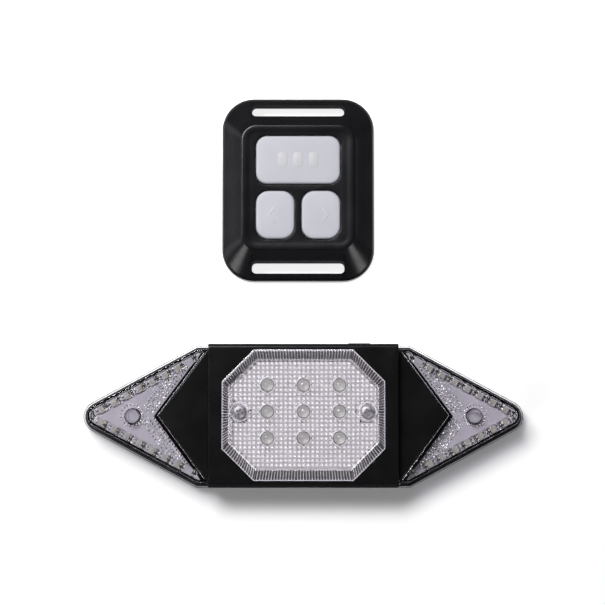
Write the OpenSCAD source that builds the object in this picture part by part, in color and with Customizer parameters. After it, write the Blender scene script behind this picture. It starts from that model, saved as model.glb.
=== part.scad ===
// Bicycle turn signal light: a tail lamp with two arrow wings, and the wireless remote that works it.
// Millimetres. Both lie on their backs: +X is the lamp's right, +Y its top edge, +Z the way it shines.
// The origin is the centre of the lamp's back face, midway between its two mounting inserts.

/* [Lamp body] */
// Height of the centre panel, along Y
lamp_h = 51; // [50:0.5:54]
// Width of the centre panel, between the two seams
panel_w = 68; // [66:0.5:72]
// Length of one arrow wing, from its seam to its tip
wing_len = 45; // [43:0.5:48]
// Radius of the wing's rounded tip
wing_tip_r = 5.75; // [5:0.25:6.25]
// Straight stretch of a wing's outline beside its seam
wing_shoulder = 4.4; // [3.6:0.2:4.8]
// Thickness of the back cover
cover_t = 2.4; // [2.2:0.1:2.8]
// Height of the wing lenses above the back face
wing_z = 12; // [11.5:0.25:13]
// Height of the centre panel above the back face
panel_z = 15; // [15:0.25:16]
// Wall thickness of the black shell
wall = 2; // [1.8:0.1:2.2]
// Bevel along the panel's upper and lower edges
panel_bevel = 1.4; // [0.8:0.1:1.8]

/* [Centre lens] */
// Width of the eight-sided lens
lens_w = 58; // [56:0.5:60]
// Height of the eight-sided lens
lens_h = 46.6; // [45:0.2:47]
// Length of each corner cut
lens_corner = 11.3; // [10:0.1:12]
// Height of the lens face above the panel
lens_rise = 3.5; // [3:0.1:4]
// How far the left and right walls lean in
lens_lean_x = 2.4; // [2:0.1:3]
// How far the upper and lower walls lean in
lens_lean_y = 3.8; // [3:0.1:4.2]
// Wall thickness of the lens
lens_t = 1.5; // [1.2:0.1:1.6]
// Diameter of a round LED
led_d = 5; // [4.8:0.1:5.2]
// Spacing of the LEDs along X
led_pitch_x = 12.8; // [11:0.1:13]
// Spacing of the LEDs along Y
led_pitch_y = 9.4; // [8:0.1:10]
// How far the LEDs and lens screws sit above the middle of the panel
led_shift = 1.1; // [0:0.1:1.5]
// Distance of each lens screw from the middle
lens_screw_x = 22.7; // [22:0.1:23.2]

/* [Wing lenses] */
// How far the black arrow plate reaches into the wing
arrow_len = 17.6; // [16:0.2:19]
// Width of the lens arm where it meets the seam
arm_w = 1.6; // [1.4:0.1:2]
// Step of the flange round the foot of the lens
flange_w = 1.4; // [1.2:0.1:1.5]
// Thickness of that flange
flange_t = 1.6; // [1.2:0.1:2]
// Flat LEDs along each outer edge
turn_leds = 7; // [5:1:7]
// Spacing of the flat LEDs along the edge
turn_led_pitch = 5.15; // [4.8:0.05:5.2]
// Distance of the screw post from the middle of the lamp
post_x = 61.2; // [60:0.2:62]

/* [Mounting] */
// Spacing of the two mounting bolts, as on a luggage rack's lamp plate
bolt_spacing = 80; // [80:1:82]
// Bore of the brass inserts, the tapping size of an M5 thread
insert_bore = 4.2; // [4.2:0.1:4.4]

/* [Remote] */
// Width of the remote, along X
remote_w = 55; // [54:0.5:58]
// Height of the remote, along Y
remote_h = 66.5; // [66:0.5:70]
// Corner radius of its outline
remote_r = 11.5; // [10:0.5:12]
// Height of the rim before the slope starts
rim_z = 6; // [5:0.25:6.5]
// Height of the raised button field
field_z = 12; // [12:0.25:13]
// Width of the button field
field_w = 41; // [40:0.5:43]
// Height of the button field
field_h = 45.6; // [45:0.2:48]
// Length of a strap slot
slot_w = 33.5; // [31:0.5:34]
// Opening of a strap slot
slot_h = 4.4; // [4.2:0.1:4.8]
// Bar left between a strap slot and the edge
slot_bar = 2.6; // [2.4:0.1:2.8]
// Width of the wide button
mode_w = 30.2; // [29:0.2:31]
// Height of all three buttons
button_h = 17.3; // [16:0.1:17.4]
// Web between neighbouring buttons
button_web = 2.6; // [2.4:0.1:3]
// How far a button travels
button_travel = 0.6; // [0.4:0.1:0.6]
// Place of the remote beside the lamp, along X
remote_x = -1.9; // [-10:0.1:10]
// Place of the remote beside the lamp, along Y
remote_y = 82; // [70:0.5:120]

/* [Hidden] */
$fn = 48;

// Overlap that keeps cuts and unions clean
eps = 0.1;
// Clearance between neighbouring pieces
gap = 0.2;
// Room round a post or boss
fit = 0.3;
// Hairline between faces that only meet
touch = 0.05;
// Edge chamfer of the buttons and the button field
chamfer = 0.8;
black = "#1c1d20";
clear = [0.86, 0.86, 0.9, 0.45];
white = "#e4e3ea";
board_green = "#1f4a34";
steel = "#b9bcc2";
brass = "#b58f3e";
rubber = "#2a2b2e";
key_grey = "#c9c9d4";

// Lamp levels
seam_x = panel_w / 2;
panel_t = 2;
lens_z = panel_z + lens_rise;
seat_z = panel_z - 1;
gasket_t = 0.5;
arrow_z = wing_z - 0.4;
board_t = 1.2;
board_z = 9;
board_top = board_z + board_t;
reflector_t = 0.8;
reflector_z = panel_z - panel_t - reflector_t;
pillar_r = 3;
pillar_z = reflector_z + 0.2;
well_floor = pillar_z + 1.6;
well_r = 2.6;
well_wall = 1.2;
window_ledge = 2.2;
corner_boss = [seam_x - 4.5, lamp_h / 2 - 4.5];
corner_boss_r = 3;
boss_pilot = 7;
side_bevel = 0.6;
corner_lean = 1.6;
// How much a corner cut shrinks for each millimetre that all sides move in
cut_rate = 2 - sqrt(2);
// Groove of the cover's gasket: its width and depth
groove = [1, 0.7];
groove_size = [panel_w - 1, lamp_h - 1];
// Flange of a round LED: how far it stands out, and its thickness
led_flange = [0.3, 1];
led_body_h = 3.4;
led_room = 0.4;
receiver_size = [12, 7, 1.4];
receiver_y = -20;
control_board_size = [panel_w - 2 * wall - 1, lamp_h - 2 * wall - 4];

// Screws of the lamp
pilot_r = 1.05;
shank_r = 1;
head_r = 2.1;
head_h = 1.4;
head_sink = 1.6;
head_room = 0.3;
// Length, width and depth of the cross recess
cross_recess = [2.6, 0.6, 0.6];
lens_screw_len = 8;
back_screw_len = 6;
remote_screw_len = 5;

// Wing levels
lens_wall = 1.2;
cover_lip = 1.2;
wing_board_z = 4.6;
wing_board_top = wing_board_z + board_t;
wing_sheet_t = 0.6;
post_r = 2.5;
post_z = wing_board_z - 1;
turn_led = [3, 2.2, 1.4];
// Radius and depth of a flat LED's phosphor cup
turn_led_cup = [0.85, 0.3];
turn_led_inset = 4.2;
first_turn_led = 1.25;
lead_y = 10;
lead_w = 3.2;
lead_t = 1;
lead_z = cover_t + 0.2;
lead_notch_h = 2;
lead_room = 0.6;
lead_reach = 17;
lead_run = 27;
lead_start = corner_boss.x - corner_boss_r - 2.5;
board_post_r = 1.2;
post_pilot = 6;

// The sloping edge of a wing runs from its shoulder to a tangent of the tip's circle.
tip_x = seam_x + wing_len - wing_tip_r;
edge_run = wing_len - wing_tip_r - wing_shoulder;
edge_angle = -atan2(lamp_h / 2, edge_run) + asin(wing_tip_r / norm([edge_run, lamp_h / 2]));
edge_normal = [-sin(edge_angle), cos(edge_angle)];

// The black arrow plate is a triangle between the two lens arms.
arrow_half = lamp_h / 2 - arm_w;
arrow_edge = norm([arrow_len, arrow_half]);
arrow_normal = [arrow_half, arrow_len] / arrow_edge;
arrow_reach = arrow_len * arrow_half / arrow_edge;

// Mounting inserts
insert_d = 6.4;
insert_h = 6.4;
insert_boss_d = 9.6;
insert_boss_h = 5.6;

// Charging port and power button, in the lower and upper walls of the lamp
port_size = [9, 7.3, 3.2];
port_shell = 0.3;
port_end = 1.5;
port_y = wall + gap - lamp_h / 2;
port_z = board_z - port_size.z;
port_mid_z = board_z - port_size.z / 2;
plug_plate = [12.6, 1, 6.6];
plug_tongue = [7.8, 3, 2];
plug_pocket = [plug_plate.x + 2 * gap, plug_plate.y, plug_plate.z + 2 * gap];
power_x = 20;
power_z = 7.6;
power_size = [8, 5];
power_proud = 0.5;
power_flange = 0.7;
power_flange_t = 0.8;
power_travel = 0.7;
switch_size = [4.8, 4.6, 3.6];
switch_back = 6;
nub_r = 1.2;
battery_size = [34, 36, 5];
battery_y = 3;

// Remote levels
back_t = 1.8;
foot_chamfer = 0.6;
field_r = 5.5;
back_size = [field_w - 0.4, field_h - 1];
ceiling_z = field_z - 1.6;
cavity = [field_w - 4, field_h - 4.6];
cavity_r = 3;
small_w = (mode_w - button_web) / 2;
row_y = (button_h + button_web) / 2;
column_x = (small_w + button_web) / 2;
mode_r = 4;
small_r = 4.6;
button_gap = 0.25;
button_flange = 0.8;
flange_top = ceiling_z - gap;
flange_z = flange_top - 1.3;
button_z = field_z + 0.9;
key_knee = field_z + 0.4;
mat_t = 0.8;
mat_z = flange_z - 0.1 - mat_t;
remote_board_t = 1;
remote_board_z = 5.2;
remote_board_top = remote_board_z + remote_board_t;
slot_y = remote_h / 2 - slot_bar - slot_h / 2;
slot_r = 1.6;
remote_boss = [cavity.x / 2 - 0.9, cavity.y / 2 - 0.9];
remote_boss_r = 2.4;
remote_sink = 1.2;
tact_size = [5.2, 5.2, 1.5];
transmitter_size = [7, 3.2, 1.2];

// Battery cap of the remote: a bayonet disc under a 20 mm coin cell
cell_d = 20;
cell_h = 3.2;
cap_r = 12;
cap_z = 0.2;
cap_t = 1.4;
cap_top = cap_z + cap_t;
cap_gap = 0.3;
cap_ring = [10.4, 11.6];
cap_ring_h = 1.4;
lug_r = 13.4;
lug_angle = 24;
lug_z = back_t + gap;
lug_h = 0.8;
// Room round a lug in its notch: along the radius, and as an angle
lug_room = [0.4, 4];
cap_twist = 40;
cap_lugs = 3;
coin_slot = [13, 1.8, 0.7];
seal_r = [11.3, 12.15];
seal_z = 0.65;
seal_h = 0.5;
cell_z = cap_top + 0.1;
top_contact = [8, 2];
side_contact = [0.3, 6];
side_contact_z = cap_top + cap_ring_h + fit;

function arc(c, r, a0, a1, n = 10) =
  [for (i = [0:n]) let (a = a0 + (a1 - a0) * i / n) c + r * [cos(a), sin(a)]];

function round_rect(w, h, r) = concat(
  arc([w / 2 - r, h / 2 - r], r, 0, 90), arc([r - w / 2, h / 2 - r], r, 90, 180),
  arc([r - w / 2, r - h / 2], r, 180, 270), arc([w / 2 - r, r - h / 2], r, 270, 360));

function octagon(w, h, c) = [
  [w / 2, c - h / 2], [w / 2, h / 2 - c], [w / 2 - c, h / 2], [c - w / 2, h / 2],
  [-w / 2, h / 2 - c], [-w / 2, c - h / 2], [c - w / 2, -h / 2], [w / 2 - c, -h / 2]];

// Octagon of the lens with every side moved in by the same distance
function lens_octagon(inset) =
  octagon(lens_w - 2 * inset, lens_h - 2 * inset, lens_corner - inset * cut_rate);

// Upper octagon of its leaning walls
function lens_top(inset) = octagon(
  lens_w - 2 * (lens_lean_x + inset), lens_h - 2 * (lens_lean_y + inset),
  lens_corner - corner_lean - inset * cut_rate);

// Half height of a wing at x, with its sloping edge moved in by inset
function edge_y(x, inset) = (wing_tip_r - inset - (x - tip_x) * edge_normal.x) / edge_normal.y;

// Radius and centre of the tip's circle for that inset
function inset_tip_r(inset) = max(wing_tip_r - inset, 0.5);
function inset_tip_x(inset) = tip_x + (wing_tip_r - inset - inset_tip_r(inset)) / edge_normal.x;

// Corner where the sloping edge meets the shoulder, for that inset
function shoulder_x(inset) =
  tip_x + (wing_tip_r - inset - (lamp_h / 2 - inset) * edge_normal.y) / edge_normal.x;

function wing_points(inset) = let (half = lamp_h / 2 - inset, corner = shoulder_x(inset)) concat(
  [[seam_x, -half], [corner, -half]],
  arc([inset_tip_x(inset), 0], inset_tip_r(inset), -90 - edge_angle, 90 + edge_angle),
  [[corner, half], [seam_x, half]]);

// Half height of the black arrow at x, with its edges moved out by outset
function arrow_y(x, outset) = (arrow_reach + outset - (x - seam_x) * arrow_normal.x) / arrow_normal.y;

// Outline of the arrow, with a straight root that starts inside the panel
function arrow_points(outset, from_x) = let (half = arrow_y(seam_x, outset)) [
  [from_x, -half], [seam_x, -half], [seam_x + (arrow_reach + outset) / arrow_normal.x, 0],
  [seam_x, half], [from_x, half]];

function turn_led_x(i) = tip_x - first_turn_led - i * turn_led_pitch * cos(edge_angle);

module lift(z) translate([0, 0, z]) children();

module both_sides() {
  children();
  mirror([1, 0, 0]) children();
}

// The back cover fills the panel's outline and stops short of the wing lenses' flanges.
function cover_half() = concat([[seam_x, -lamp_h / 2]], wing_points(cover_lip), [[seam_x, lamp_h / 2]]);

module cover_outline() polygon(concat(cover_half(), [for (p = cover_half()) -p]));

// Chevron between a wing's outer edge and its black arrow
module chevron(inset, outset) difference() {
  polygon(wing_points(inset));
  polygon(arrow_points(outset, seam_x - 1));
  translate([seam_x - 1, -lamp_h]) square([1 + gap, 2 * lamp_h]);
}

module ring_box(size, width, h) linear_extrude(h) difference() {
  square(size, center = true);
  square([size.x - 2 * width, size.y - 2 * width], center = true);
}

// Cross-head screw: the head stands on z = 0 and the shank points down.
module pan_screw(length, head = head_h) difference() {
  union() {
    cylinder(r = head_r, h = head);
    lift(-length) cylinder(r = shank_r, h = length + eps);
  }
  lift(head - cross_recess.z) for (a = [0, 90]) rotate(a)
    translate([-cross_recess.x / 2, -cross_recess.y / 2, 0]) cube(cross_recess + [0, 0, eps]);
}

// The same screw driven upwards into the back of the lamp or remote
module back_screw(length, sink = head_sink) lift(sink) mirror([0, 0, 1]) pan_screw(length, sink - gap);

module screw_well(floor_z) {
  lift(-eps) cylinder(r = head_r + head_room, h = floor_z + eps);
  lift(-eps) cylinder(r = shank_r + gap, h = 4 * cover_t);
}

module at_corners(p) for (sx = [-1, 1], sy = [-1, 1]) translate([sx * p.x, sy * p.y, 0]) children();

// Wing boards stand on three short posts of the back cover.
board_posts = [[post_x - 4.6, 0], [seam_x + 12, 15], [seam_x + 12, -15]];

module lamp_back_cover() color(black) difference() {
  union() {
    linear_extrude(cover_t) cover_outline();
    both_sides() {
      translate([lens_screw_x, led_shift, cover_t - eps]) cylinder(r = pillar_r, h = pillar_z - cover_t + eps);
      translate([bolt_spacing / 2, 0, cover_t - eps]) cylinder(d = insert_boss_d, h = insert_boss_h + eps);
      for (p = board_posts)
        translate([p.x, p.y, cover_t - eps]) cylinder(r = board_post_r, h = wing_board_z - cover_t + eps);
    }
  }
  lift(cover_t - groove.y) ring_box(groove_size, groove.x, groove.y + eps);
  at_corners(corner_boss) screw_well(head_sink);
  both_sides() {
    translate([post_x, 0, 0]) screw_well(head_sink);
    translate([lens_screw_x, led_shift, cover_t + 2]) cylinder(r = pilot_r, h = panel_z);
    translate([bolt_spacing / 2, 0, -eps]) cylinder(d = insert_d, h = insert_h + eps);
  }
}

module cover_gasket() color(rubber) lift(cover_t - groove.y) ring_box(groove_size, groove.x, groove.y);

module mount_inserts() color(brass) both_sides() translate([bolt_spacing / 2, 0, 0]) difference() {
  cylinder(d = insert_d, h = insert_h);
  lift(-eps) cylinder(d = insert_bore, h = insert_h + 2 * eps);
}

// Bevelled centre block of the front shell
module panel_block() hull() {
  translate([-seam_x, -lamp_h / 2, cover_t]) cube([panel_w, lamp_h, panel_z - panel_bevel - cover_t]);
  translate([side_bevel - seam_x, panel_bevel - lamp_h / 2, cover_t])
    cube([panel_w - 2 * side_bevel, lamp_h - 2 * panel_bevel, panel_z - cover_t]);
}

// Slot under the shell's walls and the lens, where the wing's lead passes
module lead_notch() translate([seam_x - wall - 1, lead_y - lead_w / 2 - lead_room, cover_t - eps])
  cube([wall + lead_reach, lead_w + 2 * lead_room, lead_notch_h + eps]);

module lamp_housing() color(black) difference() {
  union() {
    difference() {
      panel_block();
      translate([wall - seam_x, wall - lamp_h / 2, cover_t - eps])
        cube([panel_w - 2 * wall, lamp_h - 2 * wall, panel_z - panel_t - cover_t + eps]);
    }
    both_sides() lift(cover_t) linear_extrude(arrow_z - cover_t) polygon(arrow_points(0, seam_x - wall / 4));
    at_corners(corner_boss) lift(cover_t) cylinder(r = corner_boss_r, h = panel_z - panel_t - cover_t + eps);
  }
  lift(seat_z) linear_extrude(2) polygon(lens_octagon(-gap));
  linear_extrude(2 * panel_z) polygon(lens_octagon(window_ledge));
  at_corners(corner_boss) lift(cover_t - eps) cylinder(r = pilot_r, h = boss_pilot);
  both_sides() {
    lift(cover_t - eps) linear_extrude(arrow_z - wall - cover_t + eps)
      polygon(arrow_points(-wall, seam_x - eps));
    lead_notch();
  }
  translate([0, -lamp_h / 2, port_mid_z]) {
    translate([-plug_pocket.x / 2, -eps, -plug_pocket.z / 2]) cube(plug_pocket + [0, eps, 0]);
    translate([-port_size.x / 2 - gap, -eps, -port_size.z / 2 - gap])
      cube([port_size.x + 2 * gap, wall + 2 * eps, port_size.z + 2 * gap]);
  }
  translate([power_x - power_size.x / 2 - gap, lamp_h / 2 - wall - eps, power_z - power_size.y / 2 - gap])
    cube([power_size.x + 2 * gap, wall + 2 * eps, power_size.y + 2 * gap]);
}

module lens_gasket() color(rubber) lift(seat_z) linear_extrude(gasket_t) difference() {
  polygon(lens_octagon(0));
  polygon(lens_octagon(lens_t));
}

// Leaning octagon from z0 to z1, with every wall moved in by inset
module lens_block(inset, z0, z1) hull() {
  lift(z0) linear_extrude(eps) polygon(lens_octagon(inset));
  lift(z1 - eps) linear_extrude(eps) polygon(lens_top(inset));
}

module center_lens() color(clear) difference() {
  union() {
    difference() {
      union() {
        lift(seat_z + gasket_t) linear_extrude(panel_z - seat_z - gasket_t) polygon(lens_octagon(0));
        lens_block(0, panel_z, lens_z);
      }
      lens_block(lens_t, seat_z + gasket_t - eps, lens_z - lens_t);
    }
    both_sides() translate([lens_screw_x, led_shift, pillar_z])
      cylinder(r = well_r + well_wall, h = lens_z - lens_t / 3 - pillar_z);
  }
  both_sides() translate([lens_screw_x, led_shift, 0]) {
    lift(well_floor) cylinder(r = well_r, h = lens_z);
    cylinder(r = shank_r + gap, h = lens_z);
  }
}

module center_reflector() color(white) lift(reflector_z) linear_extrude(reflector_t) difference() {
  polygon(lens_octagon(window_ledge - 1));
  for (i = [-1:1], j = [-1:1])
    translate([i * led_pitch_x, led_shift + j * led_pitch_y]) circle(d = led_d + 2 * led_room);
  both_sides() translate([lens_screw_x, led_shift]) circle(r = well_r + well_wall + fit);
}

module control_board() color(board_green) lift(board_z) linear_extrude(board_t) difference() {
  square(control_board_size, center = true);
  at_corners(corner_boss) circle(r = corner_boss_r + fit);
  both_sides() translate([lens_screw_x, led_shift]) circle(r = pillar_r + fit);
}

module brake_leds() color(white) for (i = [-1:1], j = [-1:1])
  translate([i * led_pitch_x, led_shift + j * led_pitch_y, board_top]) {
    cylinder(d = led_d + 2 * led_flange.x, h = led_flange.y);
    cylinder(d = led_d, h = led_body_h);
    lift(led_body_h) sphere(d = led_d);
  }

module lens_screws() color(steel) both_sides()
  translate([lens_screw_x, led_shift, well_floor]) pan_screw(lens_screw_len);

module radio_receiver() color(black)
  translate([-receiver_size.x / 2, receiver_y, board_top]) cube(receiver_size);

module lamp_battery() color("#8d949c")
  translate([-battery_size.x / 2, battery_y - battery_size.y / 2, cover_t]) cube(battery_size);

module wing_lens() color(clear) difference() {
  union() {
    difference() {
      union() {
        lift(cover_t) linear_extrude(flange_t) chevron(0, gap);
        lift(cover_t) linear_extrude(wing_z - cover_t) chevron(flange_w, gap);
      }
      lift(cover_t - eps) linear_extrude(wing_z - lens_t - cover_t + eps)
        chevron(flange_w + lens_wall, gap + lens_wall);
    }
    translate([post_x, 0, post_z]) cylinder(r = post_r, h = wing_z - lens_t - post_z + eps);
  }
  translate([post_x, 0, post_z - eps]) cylinder(r = pilot_r, h = post_pilot);
  lead_notch();
}

module wing_board() color(white) lift(wing_board_z) linear_extrude(board_t) difference() {
  chevron(flange_w + lens_wall + gap, gap + lens_wall + gap);
  translate([post_x, 0]) circle(r = post_r + fit);
}

module wing_reflector() color(white) lift(wing_board_top) linear_extrude(wing_sheet_t) difference() {
  chevron(turn_led_inset + turn_led.y / 2 + led_room, gap + lens_wall + 2 * fit);
  translate([post_x, 0]) circle(r = post_r + fit);
}

module turn_led_row() color("#d9d6b4") for (s = [-1, 1], i = [0:turn_leds - 1])
  translate([turn_led_x(i), s * edge_y(turn_led_x(i), turn_led_inset), wing_board_top]) rotate(s * edge_angle)
    difference() {
      translate([-turn_led.x / 2, -turn_led.y / 2, 0]) cube(turn_led);
      lift(turn_led.z - turn_led_cup.y) cylinder(r = turn_led_cup.x, h = 1);
    }

// Two-core flat lead from the control board, under the walls, to the wing board
module wing_lead() color("#3a3d45") translate([0, lead_y - lead_w / 2, lead_z]) {
  translate([lead_start, 0, 0]) cube([lead_t, lead_w, board_z - lead_z]);
  translate([lead_start, 0, 0]) cube([lead_run, lead_w, lead_t]);
  translate([lead_start + lead_run - lead_t, 0, 0]) cube([lead_t, lead_w, wing_board_z - lead_z]);
}

module left_wing_lens() mirror([1, 0, 0]) wing_lens();
module right_wing_lens() wing_lens();
module left_wing_reflector() mirror([1, 0, 0]) wing_reflector();
module right_wing_reflector() wing_reflector();
module left_wing_board() mirror([1, 0, 0]) wing_board();
module right_wing_board() wing_board();
module left_turn_leds() mirror([1, 0, 0]) turn_led_row();
module right_turn_leds() turn_led_row();
module left_wing_lead() mirror([1, 0, 0]) wing_lead();
module right_wing_lead() wing_lead();

module wing_screws() color(steel) both_sides() translate([post_x, 0, 0]) back_screw(back_screw_len);

module cover_screws() color(steel) at_corners(corner_boss) back_screw(back_screw_len);

module charging_port() color(steel) translate([-port_size.x / 2, port_y, port_z]) difference() {
  cube(port_size);
  translate([port_shell, -eps, port_shell])
    cube([port_size.x - 2 * port_shell, port_size.y - port_end, port_size.z - 2 * port_shell]);
}

module charging_plug() color(rubber) translate([0, -lamp_h / 2, port_mid_z]) {
  translate([-plug_plate.x / 2, 0, -plug_plate.z / 2]) cube(plug_plate - [0, touch, 0]);
  translate([-plug_tongue.x / 2, plug_plate.y - eps, -plug_tongue.z / 2])
    cube([plug_tongue.x, plug_tongue.y + wall - plug_plate.y, plug_tongue.z]);
}

power_back_y = lamp_h / 2 - wall - gap - power_flange_t;

module power_switch() color(steel) translate([power_x, 0, 0]) {
  translate([-switch_size.x / 2, power_back_y - switch_back, board_z - switch_size.z]) cube(switch_size);
  translate([0, power_back_y - power_travel - touch, power_z]) rotate([90, 0, 0]) cylinder(r = nub_r, h = 1);
}

module power_button() color(rubber) translate([power_x, power_back_y, power_z]) {
  translate([-power_size.x / 2 - power_flange, 0, -power_size.y / 2 - power_flange])
    cube([power_size.x + 2 * power_flange, power_flange_t, power_size.y + 2 * power_flange]);
  translate([-power_size.x / 2, 0, -power_size.y / 2])
    cube([power_size.x, power_flange_t + gap + wall + power_proud, power_size.y]);
}

module at_remote() translate([remote_x, remote_y, 0]) children();

module slab(w, h, r, z0, z1) lift(z0) linear_extrude(z1 - z0) polygon(round_rect(w, h, r));

// Places of the three buttons: centre, width and corner radius
button_places = [
  [0, row_y, mode_w, mode_r], [-column_x, -row_y, small_w, small_r], [column_x, -row_y, small_w, small_r]];

module remote_block() hull() {
  slab(remote_w - 2 * foot_chamfer, remote_h - 2 * foot_chamfer, remote_r - foot_chamfer, 0, eps);
  slab(remote_w, remote_h, remote_r, foot_chamfer, rim_z);
  slab(field_w, field_h, field_r, field_z - chamfer - eps, field_z - chamfer);
  slab(field_w - 2 * chamfer, field_h - 2 * chamfer, field_r - chamfer, field_z - eps, field_z);
}

module remote_housing() color(black) at_remote() difference() {
  union() {
    difference() {
      remote_block();
      slab(cavity.x, cavity.y, cavity_r, back_t - eps, ceiling_z);
    }
    at_corners(remote_boss) lift(back_t) cylinder(r = remote_boss_r, h = ceiling_z - back_t + eps);
  }
  slab(back_size.x + 2 * gap, back_size.y + 2 * gap, cavity_r, -eps, back_t);
  for (s = [-1, 1]) translate([0, s * slot_y, 0]) slab(slot_w, slot_h, slot_r, -eps, field_z);
  for (b = button_places) translate([b.x, b.y, 0])
    slab(b.z + 2 * button_gap, button_h + 2 * button_gap, b[3] + button_gap, ceiling_z - eps, field_z + eps);
  at_corners(remote_boss) lift(back_t - eps) cylinder(r = pilot_r, h = post_pilot);
}

module cap_notches(r, a) for (i = [0:cap_lugs - 1]) rotate(i * 360 / cap_lugs)
  polygon(concat([[0, 0]], arc([0, 0], r, -a / 2, a / 2, 4)));

module remote_back() color(black) at_remote() difference() {
  slab(back_size.x, back_size.y, cavity_r - gap, 0, back_t);
  lift(-eps) cylinder(r = cap_r + cap_gap, h = 2 * back_t);
  lift(-eps) linear_extrude(2 * back_t) rotate(-cap_twist)
    cap_notches(lug_r + lug_room.x, lug_angle + lug_room.y);
  at_corners(remote_boss) screw_well(remote_sink);
}

module remote_screws() color(steel) at_remote() at_corners(remote_boss)
  back_screw(remote_screw_len, remote_sink);

module push_button(b) at_remote() translate([b.x, b.y, 0]) key(b[2], b[3]);

module key(w, r) {
  slab(w + 2 * button_flange, button_h + 2 * button_flange, r + button_flange, flange_z, flange_top);
  slab(w, button_h, r, flange_z, key_knee);
  hull() {
    slab(w, button_h, r, key_knee - eps, key_knee);
    slab(w - 2 * chamfer, button_h - 2 * chamfer, r - chamfer, button_z - eps, button_z);
  }
}

module mode_button() color(key_grey) push_button(button_places[0]);
module left_button() color(key_grey) push_button(button_places[1]);
module right_button() color(key_grey) push_button(button_places[2]);

// Sheet with room for the screw bosses in its corners
module remote_sheet(z, t, margin) difference() {
  slab(cavity.x - 2 * margin, cavity.y - 2 * margin, cavity_r - margin, z, z + t);
  at_corners(remote_boss) lift(z - 1) cylinder(r = remote_boss_r + fit, h = t + 2);
}

module keypad_mat() color(rubber) at_remote() remote_sheet(mat_z, mat_t, 2 * fit);
module remote_board() color(board_green) at_remote() remote_sheet(remote_board_z, remote_board_t, 2 * gap);

module tact_switches() color(steel) at_remote() for (b = button_places)
  translate([b.x, b.y, remote_board_top]) {
    translate([-tact_size.x / 2, -tact_size.y / 2, 0]) cube(tact_size);
    cylinder(r = nub_r, h = mat_z - remote_board_top);
  }

module radio_transmitter() color(black) at_remote()
  translate([-transmitter_size.x / 2, -transmitter_size.y / 2, remote_board_top]) cube(transmitter_size);

module coin_cell() color(steel) at_remote() lift(cell_z) cylinder(d = cell_d, h = cell_h);

module cell_contacts() color(brass) at_remote() {
  translate([-top_contact.x / 2, -top_contact.y / 2, cell_z + cell_h])
    cube([top_contact.x, top_contact.y, remote_board_z - cell_z - cell_h]);
  translate([cell_d / 2 + eps, -side_contact.y / 2, side_contact_z])
    cube([side_contact.x, side_contact.y, remote_board_z - side_contact_z]);
}

module battery_cap() color(black) at_remote() difference() {
  union() {
    lift(cap_z) cylinder(r = cap_r, h = cap_t);
    lift(cap_top - eps) linear_extrude(cap_ring_h + eps) difference() {
      circle(r = cap_ring[1]);
      circle(r = cap_ring[0]);
    }
    lift(lug_z) linear_extrude(lug_h) difference() {
      cap_notches(lug_r, lug_angle);
      circle(r = cap_ring[1] - fit);
    }
  }
  lift(seal_z - touch) difference() {
    cylinder(r = cap_r + 1, h = seal_h + 2 * touch);
    lift(-eps) cylinder(r = seal_r[0], h = seal_h + 1);
  }
  translate([-coin_slot.x / 2, -coin_slot.y / 2, cap_z - eps]) cube(coin_slot + [0, 0, eps]);
}

module cap_seal() color(rubber) at_remote() lift(seal_z) linear_extrude(seal_h) difference() {
  circle(r = seal_r[1]);
  circle(r = seal_r[0]);
}

lamp_back_cover();
cover_gasket();
lamp_housing();
lens_gasket();
center_lens();
center_reflector();
control_board();
brake_leds();
lens_screws();
radio_receiver();
lamp_battery();
left_wing_lens();
right_wing_lens();
left_wing_reflector();
right_wing_reflector();
left_wing_board();
right_wing_board();
left_turn_leds();
right_turn_leds();
left_wing_lead();
right_wing_lead();
wing_screws();
cover_screws();
mount_inserts();
charging_port();
charging_plug();
power_switch();
power_button();
remote_housing();
remote_back();
mode_button();
left_button();
right_button();
keypad_mat();
remote_board();
tact_switches();
radio_transmitter();
coin_cell();
cell_contacts();
battery_cap();
cap_seal();
remote_screws();
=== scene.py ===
"""Looks of a bicycle turn signal light and its remote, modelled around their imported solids."""
import math

import bmesh
import bpy
from mathutils import Matrix, Vector


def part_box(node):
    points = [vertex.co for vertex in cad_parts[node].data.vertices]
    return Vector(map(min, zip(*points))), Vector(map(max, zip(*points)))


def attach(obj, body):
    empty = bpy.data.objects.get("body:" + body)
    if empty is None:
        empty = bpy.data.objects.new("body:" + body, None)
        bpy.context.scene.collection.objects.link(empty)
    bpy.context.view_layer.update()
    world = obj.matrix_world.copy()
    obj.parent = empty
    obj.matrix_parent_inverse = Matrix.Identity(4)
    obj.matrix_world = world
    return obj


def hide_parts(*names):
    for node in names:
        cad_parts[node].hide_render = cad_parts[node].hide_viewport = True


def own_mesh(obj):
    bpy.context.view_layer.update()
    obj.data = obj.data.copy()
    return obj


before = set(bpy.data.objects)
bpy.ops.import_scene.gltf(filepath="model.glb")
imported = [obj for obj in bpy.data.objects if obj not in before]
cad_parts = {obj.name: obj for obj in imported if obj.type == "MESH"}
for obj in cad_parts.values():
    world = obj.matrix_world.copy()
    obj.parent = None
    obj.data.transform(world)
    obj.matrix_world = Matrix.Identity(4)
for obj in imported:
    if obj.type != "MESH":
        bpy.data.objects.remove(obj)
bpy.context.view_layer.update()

bl_info = {
    "name": "Bicycle Turn Signal Light",
    "version": (1, 0, 0),
    "blender": (4, 5, 0),
    "location": "View3D > Sidebar > Turn Signal",
    "description": "Dresses the solids of a bicycle turn signal light and its remote",
    "category": "Object",
}

MM = 0.001
TOUCH = 0.01 * MM
STEEP = 0.9
SIDES = ((1, "right"), (-1, "left"))

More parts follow.
